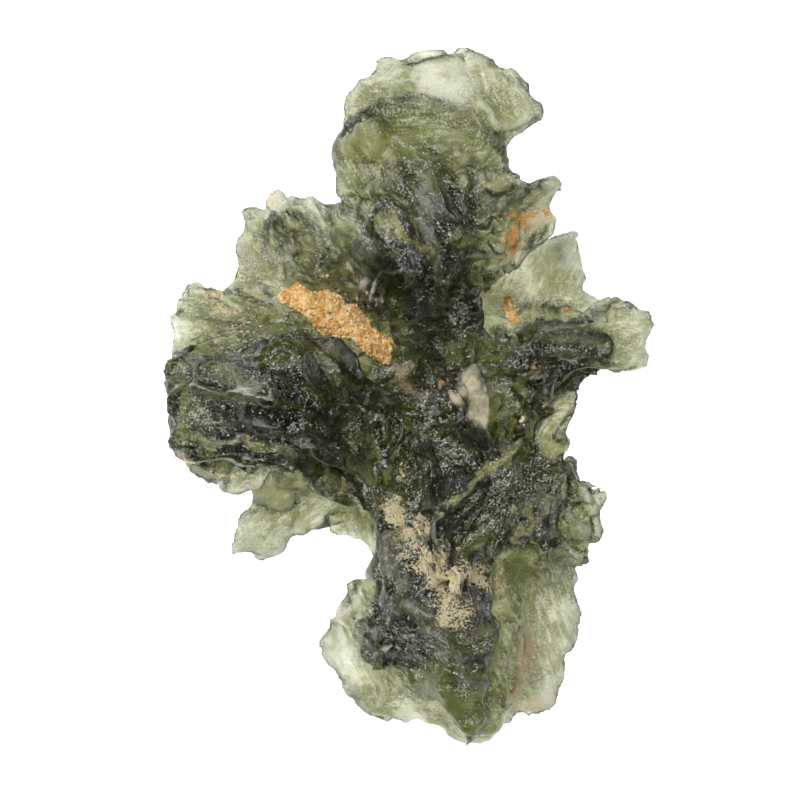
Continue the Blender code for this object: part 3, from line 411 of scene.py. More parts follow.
# What lies on the glass or marks it, each a set of strokes seen from above, as (x, y, half width).
marks = dict(
    window=[  # smooth glass that light comes through
        [(-1.0, 8.9, 0.35), (0.9, 7.4, 0.45), (2.2, 5.6, 0.35)],
        [(0.5, 11.0, 0.45), (1.1, 9.2, 0.7), (1.5, 7.2, 0.5)],
        [(-1.8, 13.2, 0.4), (-0.8, 11.2, 0.45)],
        [(1.4, 15.3, 1.0), (2.7, 15.5, 1.4)],
        [(5.5, -2.2, 0.25), (3.5, -4.1, 0.3), (1.7, -5.7, 0.3)],
        [(6.3, -4.6, 0.4), (5.6, -6.3, 0.55), (5.0, -7.6, 0.45)],
        [(-1.0, -6.8, 0.5), (-0.6, -8.8, 0.6), (0.2, -10.5, 0.55), (1.9, -11.6, 0.5), (3.9, -11.6, 0.6)],
        [(0.9, -14.8, 0.7), (2.9, -15.0, 0.8)],
        [(-3.5, -12.5, 0.6), (-2.3, -14.5, 0.65)],
        [(-8.9, 1.5, 0.9), (-7.9, 0.4, 0.8)],
        [(-10.4, -1.9, 0.2), (-7.9, -2.0, 0.3), (-5.9, -2.6, 0.25)],
        [(7.6, 3.5, 0.7), (9.6, 3.2, 0.8)],
        [(6.9, -13.4, 0.9)],
        [(-6.4, 3.2, 0.3), (-4.9, 2.7, 0.4), (-3.6, 2.5, 0.3)],
    ],
    dark=[  # painted shade: recesses darkened in the colour, as if no light got out of them
        [(-6.4, 1.5, 0.3), (-6.1, 0.2, 0.45)],
        [(-4.1, -1.0, 0.5), (-3.2, -1.7, 0.5)],
        [(1.6, -1.6, 0.6), (2.7, -2.0, 0.8), (3.4, -1.9, 0.5)],
        [(4.7, -8.2, 0.45), (5.6, -8.6, 0.7), (6.5, -9.0, 0.45)],
        [(-3.2, 9.6, 0.5), (-2.6, 7.8, 0.7), (-3.8, 6.5, 0.6)],
        [(-5.3, 2.6, 0.5), (-4.2, 1.3, 0.7), (-3.0, -0.2, 0.7)],
        [(-1.8, -1.2, 0.4), (-2.3, -3.8, 0.5)],
        [(1.0, -2.8, 0.5), (1.6, -4.8, 0.5)],
        [(2.8, 5.6, 0.5), (4.2, 5.8, 0.7)],
        [(-1.6, 6.4, 0.8), (0.6, 4.8, 1.0), (1.6, 3.6, 0.8)],
        [(-1.0, 2.4, 0.7), (1.0, 2.6, 0.8), (0.4, 0.6, 0.6)],
        [(-9.6, -0.9, 0.4), (-8.6, -1.2, 0.3)],
        [(-7.0, -3.9, 0.25), (-4.6, -4.6, 0.3)],
    ],
    shade=[  # deeper coloured glass
        [(-8.6, -7.4, 1.0), (-6.8, -6.2, 1.4), (-5.0, -5.2, 1.2)],
        [(10.2, 3.2, 1.6), (11.8, 2.0, 1.6), (9.0, 1.4, 1.2)],
        [(-8.4, 8.6, 1.0), (-7.4, 6.0, 1.3)],
        [(-5.6, 9.6, 1.4), (-5.0, 7.6, 1.6)],
        [(-10.6, 4.0, 1.2), (-7.6, 4.2, 1.2)],
        [(7.2, -9.8, 1.8), (7.0, -12.6, 1.8), (5.4, -14.6, 1.2)],
        [(-3.6, -11.0, 1.3), (-3.4, -13.0, 1.0), (-1.6, -15.4, 1.2)],
        [(7.0, 6.6, 1.2), (8.2, 5.4, 1.0)],
        [(0.8, 9.0, 2.4), (1.0, 7.0, 2.2)],
        [(3.4, 9.6, 1.0), (6.0, 10.4, 1.2)],
        [(-2.4, 15.6, 1.3), (-1.0, 16.6, 1.0)],
        [(5.0, 15.2, 1.3), (4.6, 13.2, 1.2)],
        [(-2.0, 14.6, 1.0), (-0.6, 13.6, 1.0)],
    ],
    milk=[
        [(0.7, 15.5, 0.7), (2.3, 15.4, 1.1)],
        [(-6.7, 10.3, 0.5)],
        [(7.0, 9.5, 0.6), (5.9, 8.8, 0.35)],
        [(7.4, -13.9, 0.5), (6.6, -14.9, 0.4)],
        [(-2.4, -8.5, 0.2), (-3.4, -11.6, 0.4), (-3.2, -13.6, 0.35)],
        [(-9.9, 5.6, 0.5)],
        [(9.2, 6.4, 0.3), (7.6, 7.6, 0.25)],
    ],
    olive=[  # painted light: the brightest of the ridges, scattering back olive
        [(5.5, -2.2, 0.25), (3.5, -4.1, 0.35), (1.7, -5.7, 0.25)],
        [(6.3, -4.8, 0.35), (5.6, -6.3, 0.5), (5.0, -7.6, 0.35)],
        [(-0.9, 8.9, 0.25), (0.3, 7.9, 0.3), (0.9, 7.0, 0.25)],
        [(-2.0, 12.9, 0.3), (-1.4, 11.6, 0.35)],
        [(-9.8, -2.0, 0.12), (-7.9, -2.1, 0.18), (-6.2, -2.5, 0.12)],
    ],
    glow=[  # painted light: thin olive ridges and valleys, made to scatter back olive as if light spread in them
        [(-1.0, 8.9, 0.4), (0.9, 7.4, 0.5), (2.2, 5.6, 0.4)],
        [(0.5, 11.0, 0.5), (1.1, 9.2, 0.7), (1.5, 7.2, 0.5)],
        [(-2.0, 13.2, 0.5), (-1.0, 11.2, 0.5)],
        [(5.5, -2.2, 0.3), (3.5, -4.1, 0.35), (1.7, -5.7, 0.3)],
        [(6.3, -4.6, 0.4), (5.6, -6.3, 0.6), (5.0, -7.6, 0.5)],
        [(-1.0, -6.8, 0.6), (-0.6, -8.8, 0.7), (0.2, -10.5, 0.6), (1.9, -11.6, 0.6), (3.9, -11.6, 0.7)],
        [(-8.9, 1.5, 0.8), (-7.9, 0.4, 0.7)],
        [(-10.4, -1.9, 0.2), (-7.9, -2.0, 0.3), (-5.9, -2.6, 0.25)],
        [(6.6, 3.2, 1.0), (8.6, 2.8, 1.1)],
        [(8.3, -4.2, 1.4), (8.6, -6.8, 1.4)],
        [(4.8, -3.2, 0.8), (4.4, -5.6, 1.0)],
        [(1.4, 12.2, 0.8), (3.0, 11.6, 0.9)],
        [(7.0, -2.4, 1.0), (7.0, -4.4, 1.0)],
    ],
    silver=[  # hollows whose etched grain is rougher and carries more painted glints
        [(-2.6, 9.7, 0.3), (-1.5, 8.0, 0.45), (-0.4, 6.5, 0.5), (0.9, 5.0, 0.4)],
        [(-1.6, 14.4, 0.25), (-0.1, 14.3, 0.35), (1.6, 13.7, 0.45), (3.4, 13.3, 0.35)],
        [(-7.3, 1.3, 0.6)],
        [(-10.8, -0.7, 0.4), (-9.3, -1.2, 0.35)],
        [(-6.1, -1.5, 0.35), (-5.6, -1.8, 0.3)],
        [(-7.0, -2.4, 0.25), (-6.2, -2.7, 0.25)],
        [(0.9, -3.6, 0.5), (2.6, -3.0, 0.55)],
        [(4.9, -3.5, 0.45), (4.0, -4.9, 0.65), (3.4, -6.2, 0.45)],
        [(-0.8, -11.4, 0.45), (0.2, -12.1, 0.6)],
        [(3.1, 5.6, 0.4), (4.6, 6.0, 0.45)],
        [(-5.4, 2.7, 0.35), (-4.1, 1.0, 0.45), (-2.9, -0.0, 0.4)],
        [(5.9, -4.4, 0.45)],
        [(4.6, -12.4, 0.45), (5.2, -13.6, 0.4)],
        [(2.7, -14.5, 0.5)],
        [(1.9, 4.1, 0.7), (3.6, 3.5, 0.7)],
        [(6.9, -8.8, 0.45), (8.1, -8.5, 0.45)],
    ],
    pale=[  # milky glass
        [(3.3, 1.4, 0.6), (3.6, 0.3, 0.85), (3.7, -0.7, 0.6), (3.9, -1.6, 0.25)],
        [(2.0, 0.4, 0.35), (2.9, 0.6, 0.7)],
        [(-6.6, 10.2, 0.6)],
        [(5.4, -15.8, 0.35), (7.2, -15.0, 0.4)],
        [(7.1, 9.4, 0.6), (5.8, 8.1, 0.6), (4.9, 7.3, 0.4)],
        [(-2.4, 5.2, 0.25), (-1.1, 5.0, 0.2)],
    ],
    cream=[  # pale dust
        [(-0.5, -5.4, 0.9), (0.6, -7.3, 1.5), (2.0, -9.3, 2.0), (2.4, -10.6, 1.4)],
        [(2.6, -8.6, 1.0), (4.2, -8.9, 0.8), (5.0, -9.8, 0.8)],
        [(-11.2, -3.2, 0.25), (-9.6, -3.7, 0.35), (-7.9, -4.2, 0.25)],
        [(-9.7, 5.1, 0.4), (-8.8, 4.5, 0.45), (-7.8, 4.3, 0.4)],
        [(-11.0, 4.1, 0.4)],
        [(-6.0, 8.0, 0.3), (-5.4, 7.9, 0.2)],
        [(-4.8, 6.9, 0.25), (-4.6, 6.0, 0.3)],
        [(5.1, 7.6, 0.4), (6.4, 8.2, 0.35), (7.0, 9.4, 0.4)],
        [(-0.3, -3.2, 0.2), (-0.2, -3.9, 0.25)],
        [(-3.5, -4.1, 0.45)],
        [(-10.1, 3.1, 0.15), (-8.2, 3.7, 0.2), (-7.3, 3.5, 0.2)],
    ],
    rust=[  # orange stain
        [(5.1, 7.7, 0.35), (5.8, 8.5, 0.45)],
        [(5.4, 8.9, 0.35), (6.7, 9.4, 0.4)],
        [(6.3, 8.1, 0.35)],
        [(5.1, -9.1, 0.2), (5.2, -9.9, 0.2)],
        [(-9.5, 5.1, 0.2)],
        [(-9.1, 4.2, 0.3)],
        [(-7.8, 4.4, 0.25)],
        [(-8.0, 5.1, 0.2), (-7.8, 5.2, 0.15)],
        [(1.8, 0.8, 0.2)],
        [(6.3, 1.6, 0.15)],
        [(8.0, 4.5, 0.2)],
        [(5.2, 3.9, 0.15)],
    ],
    brown=[  # thin brown stain
        [(-1.1, 1.6, 0.2), (0.0, 1.0, 0.4), (1.0, 0.3, 0.3)],
        [(6.5, -12.8, 0.4), (7.0, -13.5, 0.4)],
        [(5.9, -12.0, 0.3), (5.4, -14.5, 0.35)],
        [(-2.8, 6.5, 0.25), (-1.8, 5.5, 0.3)],
    ],
)


def sink(points, normals, sunk, centre, along, sizes):
    # An egg with half lengths sizes, the first along the direction along. A point inside it goes straight in
    # from the skin until it is out: the far root of |(p - t n - c) / sizes| = 1.
    near = np.flatnonzero((np.abs(points - centre) < max(sizes)).all(1))
    if not len(near):
        return
    side = unit(np.cross(along, (0.31, 0.42, 0.85)))
    axes = np.array([along, side, np.cross(along, side)]) / np.array(sizes)[:, None]
    offset = (points[near] - centre) @ axes.T
    inward = -normals[near] @ axes.T
    square = (inward ** 2).sum(1)
    half = (offset * inward).sum(1)
    beyond = half ** 2 - square * ((offset ** 2).sum(1) - 1)
    leave = (np.sqrt(np.maximum(beyond, 0)) - half) / square
    inside = ((offset ** 2).sum(1) < 1) & (beyond > 0)
    sunk[near[inside]] = np.maximum(sunk[near[inside]], leave[inside])


def scoopDepths(points, normals):
    # scoops lie along the way out from the heart
    sunk = np.zeros(len(points))
    heart = np.array(glass["heart"]) * mm
    rng = np.random.default_rng(scoops["seed"])
    for chosen in rng.integers(0, len(points), scoops["count"]):
        centre, normal = points[chosen], normals[chosen]
        radius = rng.uniform(*scoops["radius"]) * mm
        depth = radius * rng.uniform(*scoops["depth"])
        outward = centre - heart
        flow = unit(outward - normal * (outward @ normal))
        sizes = (radius * rng.uniform(1, scoops["stretch"]), radius, radius)
        sink(points, normals, sunk, centre + normal * (radius - depth), flow, sizes)
    return sunk


def fluteDepths(points):
    # The depth is that of |noise|, which is bowls with sharp ridges between them. Each flow reads the noise
    # with its own way drawn out, and a point takes the flows' mean, weighted by exp(-(distance / reach)^2).
    places = points / mm
    total, weights = np.zeros(len(points)), np.full(len(points), 1e-9)
    for number, (x, y, turn, reach) in enumerate(flows):
        weight = np.exp(-((places[:, 0] - x) ** 2 + (places[:, 1] - y) ** 2) / reach ** 2)
        near = np.flatnonzero(weight > 1e-4)
        cos, sin = np.cos(np.radians(turn)), np.sin(np.radians(turn))
        along = (places[near, 0] * cos + places[near, 1] * sin) / fluteDraw
        across = places[near, 1] * cos - places[near, 0] * sin
        drawn = np.stack([along, across, places[near, 2]], 1) + flowApart * number
        depth = np.zeros(len(near))
        for kind in flutes:
            wander = smoothNoise(drawn, fluteWave * kind["width"], kind["seed"] + 5)[:, None]
            bent = drawn + fluteBend * kind["width"] * wander
            depth += kind["depth"] * mm * np.abs(smoothNoise(bent, kind["width"], kind["seed"]))
        total[near] += weight[near] * depth
        weights[near] += weight[near]
    return total / weights


def storeFlow(mesh, points):
    # Each face takes the nearest flow. Its corners' places, in mm, are turned that way and drawn in along
    # it, for patterns that follow the etching.
    corners = readBack(mesh.loops, "vertex_index", kind=np.int32)
    firsts = readBack(mesh.polygons, "loop_start", kind=np.int32)
    totals = readBack(mesh.polygons, "loop_total", kind=np.int32)
    ways = np.array(flows)
    apart = (points[corners[firsts], None, :2] / mm - ways[:, :2]) / ways[:, 3:]
    chosen = np.repeat((apart ** 2).sum(2).argmin(1), totals)
    turns = np.radians(ways[chosen, 2])
    x, y, z = points[corners].T / mm
    along = (x * np.cos(turns) + y * np.sin(turns)) / fluteDraw
    across = y * np.cos(turns) - x * np.sin(turns)
    drawn = np.stack([along, across, z], 1) + flowApart * chosen[:, None]
    storeVectors(mesh, "flow", drawn, "CORNER")


def chipDepths(points, normals, rim):
    # round bites out of the thin rims
    rng = np.random.default_rng(rimChips["seed"])
    onRim = np.flatnonzero(rim < rimChips["start"])
    chips = np.zeros(len(points))
    for chosen in rng.choice(onRim, min(rimChips["count"], len(onRim)), replace=False):
        radius = rng.uniform(*rimChips["radius"]) * mm
        into = radius * rng.uniform(*rimChips["depth"])
        centre = points[chosen] + normals[chosen] * (radius - into)
        sink(points, normals, chips, centre, np.array((0, 0, 1.0)), (radius, radius, radius))
    return np.minimum(chips, rimChips["most"] * mm) * (rim < rimChips["stop"])


def strokeHeights(places, strokes):
    # a stroke's height is a parabola: 1 - d^2, with d from 0 on its line to 1 at its edge
    total = np.zeros(len(places))
    for path, height in strokes:
        share = 1 - (1 - np.clip(strokeReach(places, path), 0, 1)) ** 2
        total = np.maximum(total, height * mm * share)
    return total


def wobbled(points, much):
    # the points' places seen from above, in mm, each shifted by noise so that a stroke's edge is uneven
    places = points / mm
    broadX, broadY, fineX, fineY = (
        smoothNoise(places, size, seed) * size for size in wobble["sizes"] for seed in wobble["seeds"])
    return places[:, :2] + much * np.stack([broadX + fineX, broadY + fineY], 1)


def grooveDepths(points, bare):
    # what the grooves take, what the ridges add, and how far a point belongs to either
    places = wobbled(points, wobble["grooves"])

    def total(sign):
        chosen = [(path, sign * depth) for path, depth in grooves.values() if sign * depth > 0]
        return strokeHeights(places, chosen) * bare

    cut, raised = total(1), total(-1)
    return cut, raised, np.clip((cut + raised) / glass["orderly"], 0, 1)


def etchSkin(points, normals, edges, behind, bare):
    # Each point sinks by what is cut there, but never by more than a share of the least thickness near it,
    # so that rims stay whole.
    normals = unit(neighbourMean(normals, edges, 6))
    least = neighbourMean(neighbourLeast(behind, edges, 4), edges, 3)
    rim = np.clip(glass["rim"] * least / behind, 0, 1)
    cut, raised, ordered = grooveDepths(points, bare)
    places = points[:, :2] / mm
    smooth = strokesReach(places, marks["window"]) * bare
    rough = (1 - glass["traced"] * ordered) * (1 - glass["windowed"] * smooth)
    depth = cut + np.maximum(scoopDepths(points, normals), fluteDepths(points)) * rough
    depth = np.minimum(depth, glass["keep"] * least * rim ** 2)
    depth = np.maximum(depth, chipDepths(points, normals, rim))
    under = neighbourMean(np.clip(-3 * normals[:, 2], 0, 1), edges, 3)
    raised = raised * np.clip(2 * rim, 0, 1) + under * strokeHeights(places, fills.values())
    raised = np.maximum(raised, strokeHeights(places, joins.values()))
    moved = points + normals * (glass["growth"] + raised - depth)[:, None]
    moved[:, 2] = np.maximum(moved[:, 2], 0)
    return moved


def openShare(piece, points, normals, edges):
    # 1 where nothing lies above a point and it faces up, 0 elsewhere
    upward = np.tile((0.0, 0.0, 1.0), (len(points), 1))
    starts = points + normals * glass["outside"] * mm
    clear = castRays(piece, starts, upward, glass["longest"])[0] >= glass["longest"]
    return neighbourMean((clear & (normals[:, 2] > 0)).astype(float), edges, 2)


def redraw(piece, voxel):
    # draws the skin again on a grid of voxels, which leaves one closed surface with no folds
    remesh = piece.modifiers.new("redraw", "REMESH")
    remesh.mode = "VOXEL"
    remesh.voxel_size = voxel
    bake(piece)
    return piece.data


def keepLargest(mesh):
    # Each point takes the lowest number that it is joined to, and then that point's own, until nothing
    # changes. Only the body with the most points stays.
    edges = edgesOf(mesh)
    body = np.arange(len(mesh.vertices))
    while True:
        lowest = body.copy()
        np.minimum.at(lowest, edges[:, 0], body[edges[:, 1]])
        np.minimum.at(lowest, edges[:, 1], body[edges[:, 0]])
        lowest = lowest[lowest]
        if (lowest == body).all():
            break
        body = lowest
    lost = np.flatnonzero(body != np.bincount(body).argmax())

    def drop(shape):
        shape.verts.ensure_lookup_table()
        bmesh.ops.delete(shape, geom=[shape.verts[number] for number in lost], context="VERTS")

    rework(mesh, drop)
    print("glass: left out", len(lost), "loose points")


def thicknessBehind(piece, points, normals):
    # how far it is through the glass, straight in from each point
    return castRays(piece, points - normals * glass["skin"] * mm, -normals, glass["longest"])[0]


def storeMarks(piece, points, normals, edges):
    # what the material reads: how thin the glass is, how hollow, whether it faces down, and the marks
    mesh = piece.data
    behind = thicknessBehind(piece, points, normals)
    bare = openShare(piece, points, normals, edges)
    thin = np.clip((glass["thinFrom"] - behind / mm) / glass["thinOver"], 0, 1)
    storeValue(mesh, "thin", neighbourMean(thin, edges, 6))
    broad = neighbourMean(points, edges, glass["hollowRounds"])
    hollow = ((broad - points) * normals).sum(1) / glass["hollowDepth"]
    storeValue(mesh, "hollow", np.clip(neighbourMean(hollow, edges, 1), -1, 1))
    storeValue(mesh, "under", np.clip(-2 * normals[:, 2], 0, 1))
    places = wobbled(points, wobble["marks"])
    for name, strokes in marks.items():
        storeValue(mesh, name, np.clip(glass["gain"] * strokesReach(places, strokes), 0, 1) * bare)
    storeFlow(mesh, points)


def makeGlass():
    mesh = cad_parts["stone"].data.copy()
    rework(mesh, lambda shape: bmesh.ops.remove_doubles(shape, verts=shape.verts, dist=1e-7))
    mesh.materials.clear()
    piece = addPiece("etchedGlass", mesh)
    mesh = redraw(piece, glass["voxel"])
    edges = edgesOf(mesh)
    setPoints(mesh, evenOut(pointsOf(mesh), edges, glass["rounds"]))
    points, normals = pointsOf(mesh), normalsOf(mesh)
    behind = thicknessBehind(piece, points, normals)
    bare = openShare(piece, points, normals, edges)
    setPoints(mesh, etchSkin(points, normals, edges, behind, bare))
    mesh = redraw(piece, glass["fineVoxel"])
    keepLargest(mesh)
    setPoints(mesh, evenOut(pointsOf(mesh), edgesOf(mesh), 1))
    thin = piece.modifiers.new("thin", "DECIMATE")
    thin.ratio = min(1, glass["triangles"] / (2 * len(mesh.polygons)))
    bake(piece)
    mesh = piece.data
    points, normals = pointsOf(mesh), normalsOf(mesh)
    points[:, 2] = np.maximum(points[:, 2], 0)
    setPoints(mesh, points)
    storeMarks(piece, points, normals, edgesOf(mesh))
    shadeSmooth(mesh)
    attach(piece, "root")
    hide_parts("stone")
    print("glass:", len(mesh.vertices), "points,", len(mesh.loop_triangles), "triangles")
    return piece


# The clay.

clays = dict(
    cleftClay=dict(
        node="cleft_clay",
        outline=[(-6.4, 4.99), (-6.1, 5.54), (-5.5, 5.79), (-4.8, 5.44), (-4.0, 5.44), (-3.3, 5.09),
                 (-2.5, 4.54), (-1.7, 3.54), (-0.8, 3.04), (-0.6, 2.39), (-1.1, 1.89), (-1.9, 2.24),
                 (-2.6, 2.79), (-3.6, 3.14), (-4.5, 3.39), (-5.0, 4.14), (-5.8, 4.64)],
        hub=(-3.6, 4.1), thick=0.8, rim=0.12, around=300, rings=46, lumps=0.16, crumbs=1100, seed=21),
    seamClay=dict(
        node="seam_clay",
        outline=[(4.9, 5.19), (5.15, 5.24), (5.35, 4.79), (5.5, 4.29), (5.7, 3.89), (5.3, 3.79),
                 (5.0, 4.09), (4.8, 4.59)],
        hub=(5.2, 4.4), thick=0.4, rim=0.1, around=120, rings=18, lumps=0.08, crumbs=90, seed=22),
)


# What both crusts share, in mm.
crustForm = dict(
    ragged=((0.10, 0.5), (0.06, 0.18)),  # how uneven the outline is, and over what length
    pebbles=(0.34, 0.17),                # the sizes of its pebbly lumps
    smallPebbles=0.6,                    # how high the small ones are, as a share of the large ones' height
    swell=0.7,                           # the size of its broad lumps
    least=0.02,                          # how thick it is at least
    edge=0.03,                           # how deep its edge sits in the glass
    under=0.06,                          # and its underside
)


def levelOf(places, heights):
    # the heights of the level surface that best fits heights at places
    table = np.column_stack([places, np.ones(len(places))])
    return table @ np.linalg.lstsq(table, heights, rcond=None)[0]


def groundUnder(places, target):
    # the height of the glass under each place, and which way it faces
    height, longest = 40, 60
    starts = np.column_stack([places * mm, np.full(len(places), height * mm)])
    downward = np.tile((0.0, 0.0, -1.0), (len(places), 1))
    far, facing = castRays(target, starts, downward, longest * mm)
    return height - far / mm, facing


def crustFaces(around, rings):
    # The faces of two discs of points, one over the other, joined by a wall at their edges. Each disc is a
    # middle point and rings of points around it.
    angle = np.arange(around)
    after = np.roll(angle, -1)
    side = 1 + rings * around
    inner = (1 + np.arange(rings - 1)[:, None] * around + angle).ravel()
    innerNext = (1 + np.arange(rings - 1)[:, None] * around + after).ravel()
    top = np.column_stack([inner, inner + around, innerNext + around, innerNext])
    fan = np.column_stack([np.zeros(around, int), 1 + angle, 1 + after])
    edge, edgeNext = side - around + angle, side - around + after
    wall = np.column_stack([edge, side + edge, side + edgeNext, edgeNext])
    quads = np.vstack([top, side + top[:, ::-1], wall])
    tris = np.vstack([fan, side + fan[:, ::-1]])
    return quads.tolist() + tris.tolist()


def makeClay(name, shape, target):
    # A crust on a grid of angle and share of the way out. Its underside follows the glass, and its upper
    # side is a level that fills the hollow, crowned in the middle, with pebbly lumps on it.
    around, rings, lumps, seed = shape["around"], shape["rings"], shape["lumps"], shape["seed"]
    edge = roundCurve(shape["outline"], around)
    hub = np.array(shape["hub"])
    (broad, broadSize), (fine, fineSize) = crustForm["ragged"]
    ragged = 1 + broad * smoothNoise(edge, broadSize, seed) + fine * smoothNoise(edge, fineSize, seed + 1)
    edge = hub + (edge - hub) * ragged[:, None]
    share = np.sqrt(np.arange(1, rings + 1) / rings)[:, None, None]
    flat = np.vstack([[hub], (hub + share * (edge - hub)).reshape(-1, 2)])
    reach = np.append(0, np.repeat(share.ravel(), around))
    ground, _ = groundUnder(flat, target)
    rise = shape["thick"] * (1 - reach ** 3)
    upper = np.maximum(levelOf(flat, ground) + rise, ground + shape["rim"])
    large, small = (pebbles(flat, size, seed + k) for k, size in zip((0, 5), crustForm["pebbles"]))
    upper += lumps * (large + crustForm["smallPebbles"] * small - 0.5)
    upper += lumps * smoothNoise(flat, crustForm["swell"], seed + 9)
    upper = np.maximum(upper, ground + crustForm["least"])
    last = reach > 0.999
    upper[last] = ground[last] - crustForm["edge"]
    lower = ground - crustForm["under"]
    mesh = bpy.data.meshes.new(name)
    points = np.vstack([np.column_stack([flat, upper]), np.column_stack([flat, lower])]) * mm
    mesh.from_pydata(points.tolist(), [], crustFaces(around, rings))
    rework(mesh, lambda crust: bmesh.ops.recalc_face_normals(crust, faces=crust.faces))
    shadeSmooth(mesh)
    piece = addPiece(name, mesh)
    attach(piece, "root")
    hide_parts(shape["node"])
    print(name + ":", len(mesh.vertices), "points")
    return piece, np.column_stack([flat, upper]) * mm


# Loose grains: small 20-sided balls, squashed and turned at random, joined in one mesh.

def icosahedron():
    golden = (1 + 5 ** 0.5) / 2
    corners = [np.roll((one, side, 0), turn)
               for turn in range(3) for side in (golden, -golden) for one in (-1, 1)]
    faces = [(0, 11, 5), (0, 5, 1), (0, 1, 7), (0, 7, 10), (0, 10, 11), (1, 5, 9), (5, 11, 4),
             (11, 10, 2), (10, 7, 6), (7, 1, 8), (3, 9, 4), (3, 4, 2), (3, 2, 6), (3, 6, 8),
             (3, 8, 9), (4, 9, 5), (2, 4, 11), (6, 2, 10), (8, 6, 7), (9, 8, 1)]
    return unit(np.array(corners)), np.array(faces)


# How uneven a grain's corners are, and how long and wide it is, as shares of its radius.
grainForm = dict(uneven=(0.7, 1.2), length=(0.8, 1.4), width=(0.7, 1.0))


def makeGrains(name, centres, facing, radii, tones, flatness, seed):
    # each grain is the ball times its radius, squashed along the way that the skin faces under it, with
    # every corner moved in or out a little
    rng = np.random.default_rng(seed)
    ball, faces = icosahedron()
    count = len(centres)
    up = unit(facing + 1e-6)
    side = unit(np.cross(up, rng.normal(size=(count, 3))))
    other = np.cross(up, side)
    uneven = ball[None] * rng.uniform(*grainForm["uneven"], (count, len(ball), 1)) * radii[:, None, None]
    length, width = rng.uniform(*grainForm["length"], count), rng.uniform(*grainForm["width"], count)
    uneven *= np.stack([length, width, np.full(count, flatness)], 1)[:, None]
    placed = (centres[:, None] + uneven[..., 0:1] * side[:, None] + uneven[..., 1:2] * other[:, None]
              + uneven[..., 2:3] * up[:, None])
    mesh = bpy.data.meshes.new(name)
    everyFace = faces[None] + (np.arange(count) * len(ball))[:, None, None]
    mesh.from_pydata(placed.reshape(-1, 3).tolist(), [], everyFace.reshape(-1, 3).tolist())
    storeValue(mesh, "tone", np.repeat(tones, len(ball)))
    piece = addPiece(name, mesh)
    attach(piece, "root")
    print(name + ":", count, "grains,", len(mesh.polygons), "triangles")
    return piece


# Dust on the glass: the mark it lies on, how many grains, their radius in mm, and their tone, which is
# 0 for white and 1 for rust.
dust = dict(
    creamDust=dict(mark="cream", count=420, radius=(0.015, 0.035), flatness=0.4, tone=(0.2, 0.55), seed=31),
    rustDust=dict(mark="rust", count=260, radius=(0.02, 0.045), flatness=0.5, tone=(0.6, 1.0), seed=32),
)
dustPatch = 0.3 * mm   # the size of the patches where dust gathers
dustAside = 0.07       # mm: how far a grain lies from the point that it is set on


def makeDust(name, kind, target):
    # grains on the glass, more of them where the mark is stronger and a noise is high
    rng = np.random.default_rng(kind["seed"])
    mesh = target.data
    points, normals = pointsOf(mesh), normalsOf(mesh)
    patchy = np.clip(smoothNoise(points, dustPatch, kind["seed"]) + 0.3, 0, 1)
    weight = valuesOf(mesh, kind["mark"]) * (0.15 + patchy) ** 2
    chosen = rng.choice(len(points), kind["count"], p=weight / weight.sum())
    aside = rng.uniform(-dustAside, dustAside, (kind["count"], 3)) * mm
    aside -= normals[chosen] * (aside * normals[chosen]).sum(1)[:, None]
    radii = rng.uniform(*kind["radius"], kind["count"]) * mm
    tones = rng.uniform(*kind["tone"], kind["count"])
    return makeGrains(name, points[chosen] + aside, normals[chosen], radii, tones,
                      kind["flatness"], kind["seed"])


crumbForm = dict(radius=(0.045, 0.12), lean=0.6, flatness=0.8)  # radius in mm, and how far they lean


def makeCrumbs(name, shape, upper):
    # loose grains on a clay crust
    rng = np.random.default_rng(shape["seed"] + 50)
    chosen = rng.integers(0, len(upper), shape["crumbs"])
    radii = rng.uniform(*crumbForm["radius"], shape["crumbs"]) * mm
    facing = unit(rng.normal(size=(shape["crumbs"], 3)) * crumbForm["lean"] + (0, 0, 1))
    tones = rng.uniform(0, 1, shape["crumbs"])
    return makeGrains(name, upper[chosen], facing, radii, tones, crumbForm["flatness"], shape["seed"])


# Single crumbs and chips: place, radius in mm and tone (0 white, 1 rust).
fleckFlatness = 0.6
fleckSeed = 41
flecks = [
    (5.75, -0.95, 0.16, 0.0), (5.65, -1.05, 0.12, 0.0), (5.8, -1.25, 0.07, 0.1), (6.9, -0.56, 0.12, 0.35),
    (6.75, -0.3, 0.08, 0.3), (6.3, 1.6, 0.13, 0.95), (8.0, 4.55, 0.15, 0.9), (1.75, 0.85, 0.2, 1.0),
    (-2.0, 5.3, 0.1, 0.4), (-4.0, 6.2, 0.09, 0.3), (4.4, -2.95, 0.08, 0.3), (4.1, -3.2, 0.06, 0.3),
    (4.2, 0.1, 0.06, 0.35), (-0.3, -3.2, 0.1, 0.3), (-0.2, -3.8, 0.12, 0.35), (-4.4, -4.9, 0.08, 0.6),
    (1.2, -15.3, 0.06, 0.0), (2.6, -16.0, 0.06, 0.0),
]


def makeFlecks(target):
    table = np.array(flecks)
    ground, facing = groundUnder(table[:, :2], target)
    centres = np.column_stack([table[:, :2], ground]) * mm
    return makeGrains("flecks", centres, facing, table[:, 2] * mm, table[:, 3], fleckFlatness, fleckSeed)


# Materials.

